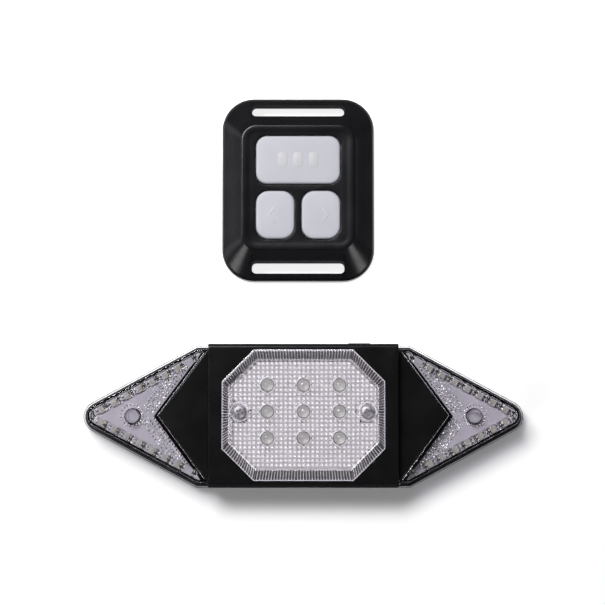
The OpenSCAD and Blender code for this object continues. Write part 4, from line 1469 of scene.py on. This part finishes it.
class WingInsideOperator(bpy.types.Operator):
    """Boards, white sheets, bosses, seals and rows of flat LEDs inside the wings"""

    bl_idname = "turn_signal.wing_inside"
    bl_label = "Wing boards and LEDs"

    def execute(self, context):
        sheet_inset = TURN_LED_INSET + TURN_LED_SIZE.y / 2 + LED_ROOM
        board_inset = FLANGE + WING_WALL + GAP
        for side, name in SIDES:
            sheet = self.plate(f"{name}_bright_sheet", f"{name}_wing_reflector", side, sheet_inset)
            finish_piece(sheet, "lamp", "bright_reflector", matte_polystyrene(), f"{name}_wing_reflector")
            board = self.plate(f"{name}_led_board", f"{name}_wing_board", side, board_inset)
            finish_piece(board, "lamp", "white_board", white_solder_mask(), f"{name}_wing_board")
            seal = self.seal(f"{name}_wing_seal", side)
            finish_piece(seal, "lamp", "seal_rubber", grey_silicone())
            dress_node(f"{name}_wing_lead", silicone_rubber())
            boss = self.boss(f"{name}_post_boss", side)
            finish_piece(boss, "lamp", "bright_reflector", matte_polystyrene())
            spots = self.led_spots(side)
            bodies = place_copies(f"{name}_led_bodies", self.package(), spots, led_body())
            finish_piece(bodies, "lamp", "flat_led", led_body(), f"{name}_turn_leds")
            pads = place_copies(f"{name}_solder_pads", self.pads(), spots, solder())
            finish_piece(pads, "lamp", "screw_steel", solder())
            dots = place_copies(f"{name}_led_phosphor", self.phosphor(), spots, led_phosphor())
            finish_piece(dots, "lamp", "flat_led", led_phosphor())
        return {"FINISHED"}

    def led_spots(self, side):
        """Place and turn of each flat LED along both edges of a wing."""
        foot_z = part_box("right_turn_leds")[0].z
        spots = []
        for up in (-1, 1):
            for i in range(TURN_LEDS):
                x = TIP_X - FIRST_TURN_LED - i * TURN_LED_PITCH * EDGE_ALONG.x
                spots.append(((side * x, up * wing_half(x, TURN_LED_INSET), foot_z), side * up * EDGE_ANGLE))
        return spots

    def plate(self, name, node, side, inset):
        """Flat board or sheet in a wing, with room for the post and a dark margin along the black arrow."""
        low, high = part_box(node)
        outline = to_side(chevron(inset, GAP + NOTCH_WALL + ARROW_MARGIN), side)
        bm = bmesh.new()
        pierced_plate(bm, [outline, circle((side * POST_X, 0), POST_R + POST_ROOM)], low.z, high.z)
        return solid(name, bm)

    def seal(self, name, side):
        """Dark grey seal under the overhanging flange of a wing."""
        levels = ((0.55, 0.4, 1.7), (0.55, 0.4, 2.4), (1.5, 1.2, 2.4), (1.5, 1.2, 1.7))
        bm = bmesh.new()
        rings = loft(bm, [(chevron(i * MM, GAP + o * MM), z * MM) for i, o, z in levels])
        skin(bm, rings[-1], rings[0])
        bmesh.ops.scale(bm, vec=(side, 1, 1), verts=bm.verts)
        return solid(name, bm)

    def boss(self, name, side):
        """White boss that the clear post stands on, with the screw's bore and a dimple on top."""
        bore, dimple = PILOT_R + GAP, 0.3 * MM
        bm = bmesh.new()
        spin_profile(bm, [
            (0, POST_FOOT - 3 * dimple), (bore, POST_FOOT - 3 * dimple), (bore, COVER_Z), (POST_R, COVER_Z),
            (POST_R, POST_FOOT), (bore + 0.2 * MM, POST_FOOT), (bore, POST_FOOT - dimple),
            (0, POST_FOOT - dimple)], (side * POST_X, 0))
        boss = solid(name, bm)
        smooth(boss.data)
        return boss

    def package(self):
        """White body of a flat LED with a round well."""
        wide, deep, top = TURN_LED_SIZE
        corner, edge = 2 * LED_EDGE, 2 * LED_EDGE
        bm = bmesh.new()
        rings = loft(bm, [
            (rounded_rect(wide, deep, corner, steps=2), 0),
            (rounded_rect(wide, deep, corner, steps=2), top - LED_EDGE),
            (rounded_rect(wide - edge, deep - edge, corner, steps=2), top)])
        well = loft(bm, [(circle((0, 0), LED_WELL_R + 0.12 * MM, 20), top),
                         (circle((0, 0), LED_WELL_R, 20), top - LED_WELL_DEPTH)])
        close_ends(bm, [rings[0], well[-1]])
        fill(bm, rings[-1], well[0])
        return bm

    def phosphor(self):
        """Phosphor that fills the well of a flat LED."""
        top, radius = TURN_LED_SIZE.z, LED_WELL_R
        bm = bmesh.new()
        spin_profile(bm, [
            (0, top - LED_WELL_DEPTH), (radius, top - LED_WELL_DEPTH), (radius + 0.08 * MM, top - 0.08 * MM),
            (0.5 * radius, top - 0.04 * MM), (0, top - 0.02 * MM)], steps=20)
        return bm

    def pads(self):
        """Four soldered feet of a flat LED."""
        bm = bmesh.new()
        for x in (-1, 1):
            for y in (-1, 1):
                spot = (x * (TURN_LED_SIZE.x / 2 + SOLDER_PAD_AT.x), y * SOLDER_PAD_AT.y)
                outline = rounded_rect(SOLDER_PAD.x, SOLDER_PAD.y, SOLDER_PAD_R, spot, 2)
                prism(bm, outline, 0, SOLDER_PAD.z, SOLDER_PAD_EDGE)
        return bm


def cross_screw(head_h, shank, facing, head_r=SCREW_HEAD_R):
    """Cross-head screw as a bmesh: its head stands on z = 0 on the facing side."""
    top = 0.35 * head_h
    bm = bmesh.new()
    spin_profile(bm, [
        (0, -shank), (0.6 * SCREW_SHANK_R, -shank), (SCREW_SHANK_R, -shank + 0.6 * MM), (SCREW_SHANK_R, 0),
        (head_r, 0), (head_r, head_h - top), (0.93 * head_r, head_h - 0.5 * top),
        (0.75 * head_r, head_h - 0.12 * top), (0.4 * head_r, head_h), (0, head_h)])
    screw = solid("screw", bm)
    for wide, deep in (RECESS, RECESS.yx):
        foot = rounded_rect(0.5 * wide + 0.2 * MM, 0.5 * deep + 0.2 * MM, 0.05 * MM, steps=1)
        mouth = rounded_rect(wide, deep, 0.1 * MM, steps=1)
        bm = bmesh.new()
        close_ends(bm, loft(bm, [(foot, head_h - RECESS_DEPTH), (mouth, head_h + 0.1 * MM)]))
        combine(screw, solid("blade", bm), "DIFFERENCE")
    bm = bmesh.new()
    bm.from_mesh(screw.data)
    discard(screw)
    if facing < 0:
        bmesh.ops.transform(bm, matrix=Matrix.Rotation(math.pi, 4, "X"), verts=bm.verts)
    return bm


class ScrewsOperator(bpy.types.Operator):
    """Cross-head screws of the lens, wings, back cover and remote"""

    bl_idname = "turn_signal.screws"
    bl_label = "Screws"

    def execute(self, context):
        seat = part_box("lens_screws")[1].z - SCREW_HEAD_H
        lens_spots = [((x, y, seat), math.copysign(SCREW_TURN, x)) for x, y in LENS_SCREWS]
        lens_screw = cross_screw(SCREW_HEAD_H, LENS_SHANK, 1, WASHER_HEAD_R)
        self.screws("lens_cross_screws", lens_screw, lens_spots, "lamp", "lens_screws", satin_nickel())
        for name, node, body, tall, shank in (
                ("wing_cross_screws", "wing_screws", "lamp", SCREW_HEAD_H, 6 * MM),
                ("cover_cross_screws", "cover_screws", "lamp", SCREW_HEAD_H, 6 * MM),
                ("remote_cross_screws", "remote_screws", "remote", LOW_HEAD_H, 5 * MM)):
            low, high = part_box(node)
            middle = (low + high) / 2
            reach = (high - low) / 2 - Vector((SCREW_HEAD_R, SCREW_HEAD_R, 0))
            xs = (middle.x - reach.x, middle.x + reach.x)
            ys = (middle.y,) if reach.y < 0.1 * MM else (middle.y - reach.y, middle.y + reach.y)
            spots = []
            for i, x in enumerate(xs):
                spots += [((x, y, low.z + tall), 0.7 * i + 0.3 * j) for j, y in enumerate(ys)]
            self.screws(name, cross_screw(tall, shank, -1), spots, body, node, zinc_plated_steel())
        return {"FINISHED"}

    def screws(self, name, screw, spots, body, node, steel):
        finish_piece(place_copies(name, screw, spots, steel), body, "screw_steel", steel, node)


class LampFittingsOperator(bpy.types.Operator):
    """Charging socket with its plug, power button, and what is sealed inside the lamp"""

    bl_idname = "turn_signal.lamp_fittings"
    bl_label = "Lamp fittings"

    def execute(self, context):
        edge = settings().shell.cover_edge
        soft_copy("socket_plug", "charging_plug", edge, "port_plug", "seal_rubber", silicone_rubber())
        soft_copy("power_key", "power_button", edge, "power_key", "seal_rubber", silicone_rubber())
        soft_copy("charging_socket", "charging_port", SOCKET_EDGE, "lamp", "screw_steel", zinc_plated_steel())
        soft_copy("battery_pouch", "lamp_battery", POUCH_EDGE, "lamp", "cell_foil", pouch_foil())
        dress_node("power_switch", zinc_plated_steel())
        dress_node("control_board", green_solder_mask())
        dress_node("radio_receiver", chip_epoxy())
        return {"FINISHED"}


# Pieces of the remote

def remote_rect(width, height, radius, steps=12):
    return rounded_rect(width, height, radius, REMOTE_AT, steps)


def key_outline(node):
    """Width, height, corner radius and middle of a key's body, from its flange's box."""
    low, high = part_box(node)
    width = high.x - low.x - 2 * KEY_FLANGE
    height = high.y - low.y - 2 * KEY_FLANGE
    radius = WIDE_KEY_R if width > height else SMALL_KEY_R
    return width, height, radius, ((low + high) / 2).to_2d()


class RemoteShellOperator(bpy.types.Operator):
    """Sloping shell of the remote with its key tray and strap slots"""

    bl_idname = "turn_signal.remote_shell"
    bl_label = "Remote shell"

    def execute(self, context):
        sizes = settings().shell
        size = (REMOTE_HIGH - REMOTE_LOW).to_2d()
        ceiling = REMOTE_HIGH.z - CEILING_T
        bm = bmesh.new()
        outer = loft(bm, self.sections(sizes, size))
        holes = [self.key_hole(bm, node, REMOTE_HIGH.z - sizes.tray_depth, ceiling) for node in KEYS]
        fill(bm, outer[-1], *[rings[0] for rings in holes])
        back_low, back_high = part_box("remote_back")
        seat = (back_high - back_low).to_2d() + Vector((2 * GAP, 2 * GAP))
        inner = loft(bm, [(remote_rect(*room, HOLLOW_R), z) for room, z in (
            (HOLLOW, ceiling), (HOLLOW, BACK_T), (seat, BACK_T), (seat, 0))])
        fill(bm, inner[0], *[rings[-1] for rings in holes])
        fill(bm, outer[0], inner[-1])
        shell = solid("remote_shell", bm)
        slot_y = size.y / 2 - SLOT_BAR - SLOT.y / 2
        for side in (-1, 1):
            middle = REMOTE_AT + Vector((0, side * slot_y))
            bm = bmesh.new()
            prism(bm, rounded_rect(SLOT.x, SLOT.y, SLOT_R, middle, 6), -2 * MM, REMOTE_HIGH.z + 2 * MM)
            combine(shell, solid("slot", bm), "DIFFERENCE")
        self.round_slots(shell, slot_y)
        smooth(shell.data, angle=28)
        flatten(shell)
        finish_piece(shell, "remote", "remote_shell", semi_gloss_abs(), "remote_housing")
        dull_walls(shell, lambda spot: self.in_slot(spot, slot_y))
        return {"FINISHED"}

    def sections(self, sizes, size):
        """Outer outlines from the foot over the slope and the field's edge down into the key tray."""
        field_z = REMOTE_HIGH.z
        foot, rim, edge = FOOT_ROUND, sizes.rim_round, sizes.field_round
        rise = field_z - edge * 0.5 - RIM_Z
        start = rim * 0.5 / rise

        def slope(share, z, inset=0.0):
            wide, tall = size.lerp(FIELD, share)
            radius = REMOTE_R + (FIELD_R - REMOTE_R) * share
            return remote_rect(wide - 2 * inset, tall - 2 * inset, radius - inset), z

        levels = [
            (0, 0, foot), (0, 0.18 * foot, 0.42 * foot), (0, 0.55 * foot, 0.1 * foot), (0, foot),
            (0, RIM_Z - 0.75 * rim), (0, RIM_Z - 0.35 * rim, 0.05 * rim),
            (start * 0.45, RIM_Z + start * 0.12 * rise, 0.06 * rim), (start, RIM_Z + start * 0.85 * rise),
            (0.5, RIM_Z + 0.48 * rise), (0.86, RIM_Z + 0.86 * rise), (0.95, RIM_Z + 0.97 * rise),
            (1, field_z - 0.3 * edge), (1, field_z - 0.07 * edge, 0.35 * edge), (1, field_z, 0.9 * edge)]
        for share in (0, 0.25, 0.5, 0.75, 1):
            sunk = share * share * (3 - 2 * share)
            levels.append((1, field_z - sunk * sizes.tray_depth, sizes.tray_margin + TRAY_SLOPE * share))
        return [slope(*level) for level in levels]

    def key_hole(self, bm, node, tray_z, ceiling):
        """Walls of a key's hole with a rounded lip, as rings from the tray down."""
        width, height, radius, middle = key_outline(node)
        rings = []
        for lip, z in ((KEY_LIP, tray_z), (0.3 * KEY_LIP, tray_z - 0.3 * KEY_LIP),
                       (0, tray_z - KEY_LIP), (0, ceiling)):
            room = KEY_GAP + lip
            rings.append((rounded_rect(width + 2 * room, height + 2 * room, radius + room, middle), z))
        return loft(bm, rings)

    def in_slot(self, point, slot_y):
        """True within a strap slot's outline and on its walls."""
        spot = point.to_2d() - REMOTE_AT
        reach = SLOT / 2 + Vector((TOUCH, TOUCH))
        return abs(spot.x) < reach.x and abs(abs(spot.y) - slot_y) < reach.y

    def round_slots(self, shell, slot_y):
        """Rounds the upper and lower rims of the strap slots."""
        bm = bmesh.new()
        bm.from_mesh(shell.data)
        bmesh.ops.remove_doubles(bm, verts=bm.verts, dist=TOUCH)
        rims = []
        for e in bm.edges:
            a, b = [v.co for v in e.verts]
            level = abs(a.z - b.z) <= 2 * MM
            if level and self.in_slot(a, slot_y) and self.in_slot(b, slot_y) and bends(e, angle=35):
                rims.append(e)
        round_edges(bm, rims, SLOT_ROUND, segments=3)
        bm.to_mesh(shell.data)
        bm.free()


class KeysOperator(bpy.types.Operator):
    """Three crowned keys with plain raised marks"""

    bl_idname = "turn_signal.keys"
    bl_label = "Keys"

    def execute(self, context):
        for node, body in KEYS.items():
            finish_piece(self.key(node), body, "key_grey", key_plastic(), node)
            finish_piece(self.mark(node), body, "key_grey", key_mark())
        return {"FINISHED"}

    def key(self, node):
        """Key with a flange below, rounded shoulders and a crowned top."""
        sizes = settings().shell
        low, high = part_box(node)
        width, height, radius, middle = key_outline(node)
        flange_z = low.z + KEY_FLANGE_T
        side_top = high.z - sizes.key_crown

        def outline(inset, z):
            corner = max(radius - inset, KEY_CORNER_MIN)
            return rounded_rect(width - 2 * inset, height - 2 * inset, corner, middle, 12), z

        sections = [outline(-KEY_FLANGE, low.z), outline(-KEY_FLANGE, flange_z), outline(0, flange_z)]
        sections += [outline(i, side_top - d) for i, d in quarter_round(sizes.key_round, 6)]
        points = sections[-1][0]
        for share in (0.8, 0.55, 0.3, 0.1):
            crown = sizes.key_crown * (1 - share * share)
            sections.append(([middle + (p - middle) * share for p in points], side_top + crown))
        bm = bmesh.new()
        close_ends(bm, loft(bm, sections))
        key = solid(node + "_cap", bm)
        smooth(key.data, angle=40)
        return key

    def mark(self, node):
        """Raised chevron on a small key, or a row of plain bars on the wide one."""
        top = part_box(node)[1].z
        middle = key_outline(node)[3]
        if node == "mode_button":
            spots = [middle + Vector((i * BAR_MARK_STEP, 0)) for i in (-1, 0, 1)]
            lines = [rounded_rect(*BAR_MARK, BAR_MARK_R, spot, 5) for spot in spots]
        else:
            point = -1 if node == "left_button" else 1
            middle = middle + Vector((point * CHEVRON_SHIFT, 0))
            tip, tall = CHEVRON_MARK.x / 2, CHEVRON_MARK.y
            line = [Vector(p) for p in (
                (tip, 0), (-tip, tall), (-tip - CHEVRON_STROKE, tall),
                (tip - CHEVRON_STROKE, 0), (-tip - CHEVRON_STROKE, -tall), (-tip, -tall))]
            lines = [[p + middle for p in to_side(line, point)]]
        bm = bmesh.new()
        for line in lines:
            prism(bm, line, top - MARK_ROOT, top + settings().shell.mark_height - MARK_SINK, MARK_EDGE)
        mark = solid(node + "_mark", bm)
        smooth(mark.data)
        return mark


class KeypadOperator(bpy.types.Operator):
    """Rubber keypad mat with a pad under each key"""

    bl_idname = "turn_signal.keypad"
    bl_label = "Keypad"

    def execute(self, context):
        low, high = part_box("keypad_mat")
        membrane_z = low.z + MEMBRANE_T
        mat = place("keypad_web", softened("keypad_mat", PAD_EDGE))
        for node in KEYS:
            width, height, radius, middle = key_outline(node)
            wide = KEY_FLANGE + PAD_MARGIN
            outline = rounded_rect(width + 2 * wide, height + 2 * wide, radius + wide, middle)
            bm = bmesh.new()
            prism(bm, inset_outline(outline, -PAD_GAP), membrane_z, high.z + 1 * MM)
            combine(mat, solid("pocket", bm), "DIFFERENCE")
            bm = bmesh.new()
            prism(bm, outline, membrane_z, high.z, PAD_EDGE)
            pad = solid(node.replace("button", "pad"), bm)
            smooth(pad.data)
            finish_piece(pad, "remote", "seal_rubber", silicone_rubber())
            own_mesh(pad)
        smooth(mat.data)
        finish_piece(mat, "remote", "seal_rubber", silicone_rubber(), "keypad_mat")
        return {"FINISHED"}


class RemoteBackOperator(bpy.types.Operator):
    """Back plate, battery cap and what is sealed inside the remote"""

    bl_idname = "turn_signal.remote_back"
    bl_label = "Remote back"

    def execute(self, context):
        edge = settings().shell.cover_edge
        soft_copy("back_plate", "remote_back", edge, "remote", "remote_shell", semi_gloss_abs())
        soft_copy("cell_cap", "battery_cap", CAP_EDGE, "cell_cap", "remote_shell", semi_gloss_abs())
        soft_copy("coin_cell_can", "coin_cell", CAN_EDGE, "remote", "cell_steel", nickel_plated_can())
        dress_node("cap_seal", silicone_rubber())
        dress_node("remote_board", green_solder_mask())
        dress_node("tact_switches", zinc_plated_steel())
        dress_node("radio_transmitter", chip_epoxy())
        dress_node("cell_contacts", turned_brass())
        return {"FINISHED"}


# Stage

def area_light(name, watts, spot, aim, size):
    """Soft rectangular light."""
    light = bpy.data.lights.new(name, "AREA")
    light.shape = "RECTANGLE"
    light.size, light.size_y = size
    light.energy = watts
    made = bpy.data.objects.new(name, light)
    made.location = spot
    made.rotation_euler = (Vector(aim) - Vector(spot)).to_track_quat("-Z", "Y").to_euler()
    bpy.context.scene.collection.objects.link(made)


class StageOperator(bpy.types.Operator):
    """White floor, soft studio light and the camera"""

    bl_idname = "turn_signal.stage"
    bl_label = "Stage"

    def execute(self, context):
        studio = settings().studio
        bm = bmesh.new()
        bm.faces.new(ring(bm, rounded_rect(FLOOR_SIZE, FLOOR_SIZE, FLOOR_CORNER), -FLOOR_DROP))
        floor = solid("floor", bm, recalc=False)
        floor.data.materials.append(lit_floor())
        self.world()
        middle = Vector((0, studio.aim_y, 0))
        for name, watts, spot, size in (
                ("key_light", studio.key_power, (-0.4, 0.6, 1.0), (0.7, 0.45)),
                ("front_left_light", studio.front_power, (-0.69, -0.49, 0.53), (0.3, 0.3)),
                ("front_right_light", studio.front_power, (0.69, -0.49, 0.53), (0.3, 0.3)),
                ("low_front_light", studio.low_power, (0.0, -1.0, 0.13), (0.35, 0.1)),
                ("low_left_light", LEFT_STRIP * studio.low_power, (-0.95, 0.15, 0.28), (0.8, 0.2))):
            area_light(name, watts, spot, middle, size)
        self.camera(studio)
        context.scene.view_settings.view_transform = "Standard"
        context.scene.view_settings.exposure = studio.exposure
        return {"FINISHED"}

    def world(self):
        """Grey surroundings that are lightest at the horizon, so that level black faces stay black."""
        world = bpy.data.worlds.new("studio")
        world.use_nodes = True
        tree = world.node_tree
        tree.nodes.clear()
        spot = add_node(tree, "ShaderNodeTexCoord").outputs["Generated"]
        height = add_node(tree, "ShaderNodeSeparateXYZ", {0: spot}).outputs["Z"]
        ramp = add_node(tree, "ShaderNodeValToRGB", {"Fac": height})
        shades = ((0.0, "#5a5a5c"), (0.5, "#b0b0b2"), (0.85, "#48484c"))
        ramp.color_ramp.elements.remove(ramp.color_ramp.elements[1])
        for i, (position, shade) in enumerate(shades):
            element = ramp.color_ramp.elements.new(position) if i else ramp.color_ramp.elements[0]
            element.position = position
            element.color = linear(shade)
        light = add_node(tree, "ShaderNodeBackground", {"Color": ramp, "Strength": WORLD_STRENGTH})
        add_node(tree, "ShaderNodeOutputWorld", {"Surface": light})
        bpy.context.scene.world = world

    def camera(self, studio):
        """Camera that looks down on the picture's middle with a slight tilt."""
        lens = bpy.data.cameras.new("camera")
        lens.sensor_width = 36
        lens.lens = lens.sensor_width * studio.distance / studio.frame_width
        lens.clip_start = 0.01
        camera = bpy.data.objects.new("camera", lens)
        aim = Vector((AIM_X, studio.aim_y, AIM_Z))
        back = Vector((0, -math.sin(studio.tilt), math.cos(studio.tilt)))
        camera.location = aim + back * studio.distance
        camera.rotation_euler = (-back).to_track_quat("-Z", "Y").to_euler()
        bpy.context.scene.collection.objects.link(camera)
        bpy.context.scene.camera = camera


OPERATORS = (
    StageOperator, LampShellOperator, LampBackOperator, CenterLensOperator, BrakeLedsOperator,
    WingLensesOperator, WingInsideOperator, ScrewsOperator, LampFittingsOperator, RemoteShellOperator,
    KeysOperator, KeypadOperator, RemoteBackOperator,
)


class TurnSignalPanel(bpy.types.Panel):
    """Buttons for the pieces of the turn signal light"""

    bl_idname = "VIEW3D_PT_turn_signal"
    bl_label = "Turn Signal Light"
    bl_space_type = "VIEW_3D"
    bl_region_type = "UI"
    bl_category = "Turn Signal"

    def draw(self, context):
        for operator in OPERATORS:
            self.layout.operator(operator.bl_idname)
        for group in (settings().lens, settings().shell, settings().finish, settings().studio):
            for key in group.__annotations__:
                self.layout.prop(group, key)


CLASSES = (LensSizes, ShellSizes, Finishes, Studio, TurnSignalSettings) + OPERATORS + (TurnSignalPanel,)


def register():
    for kind in CLASSES:
        bpy.utils.register_class(kind)
    bpy.types.Scene.turn_signal = bpy.props.PointerProperty(type=TurnSignalSettings)


def unregister():
    del bpy.types.Scene.turn_signal
    for kind in reversed(CLASSES):
        bpy.utils.unregister_class(kind)


def main():
    register()
    for operator in OPERATORS:
        group, name = operator.bl_idname.split(".")
        getattr(getattr(bpy.ops, group), name)()


if __name__ == "__main__":
    main()
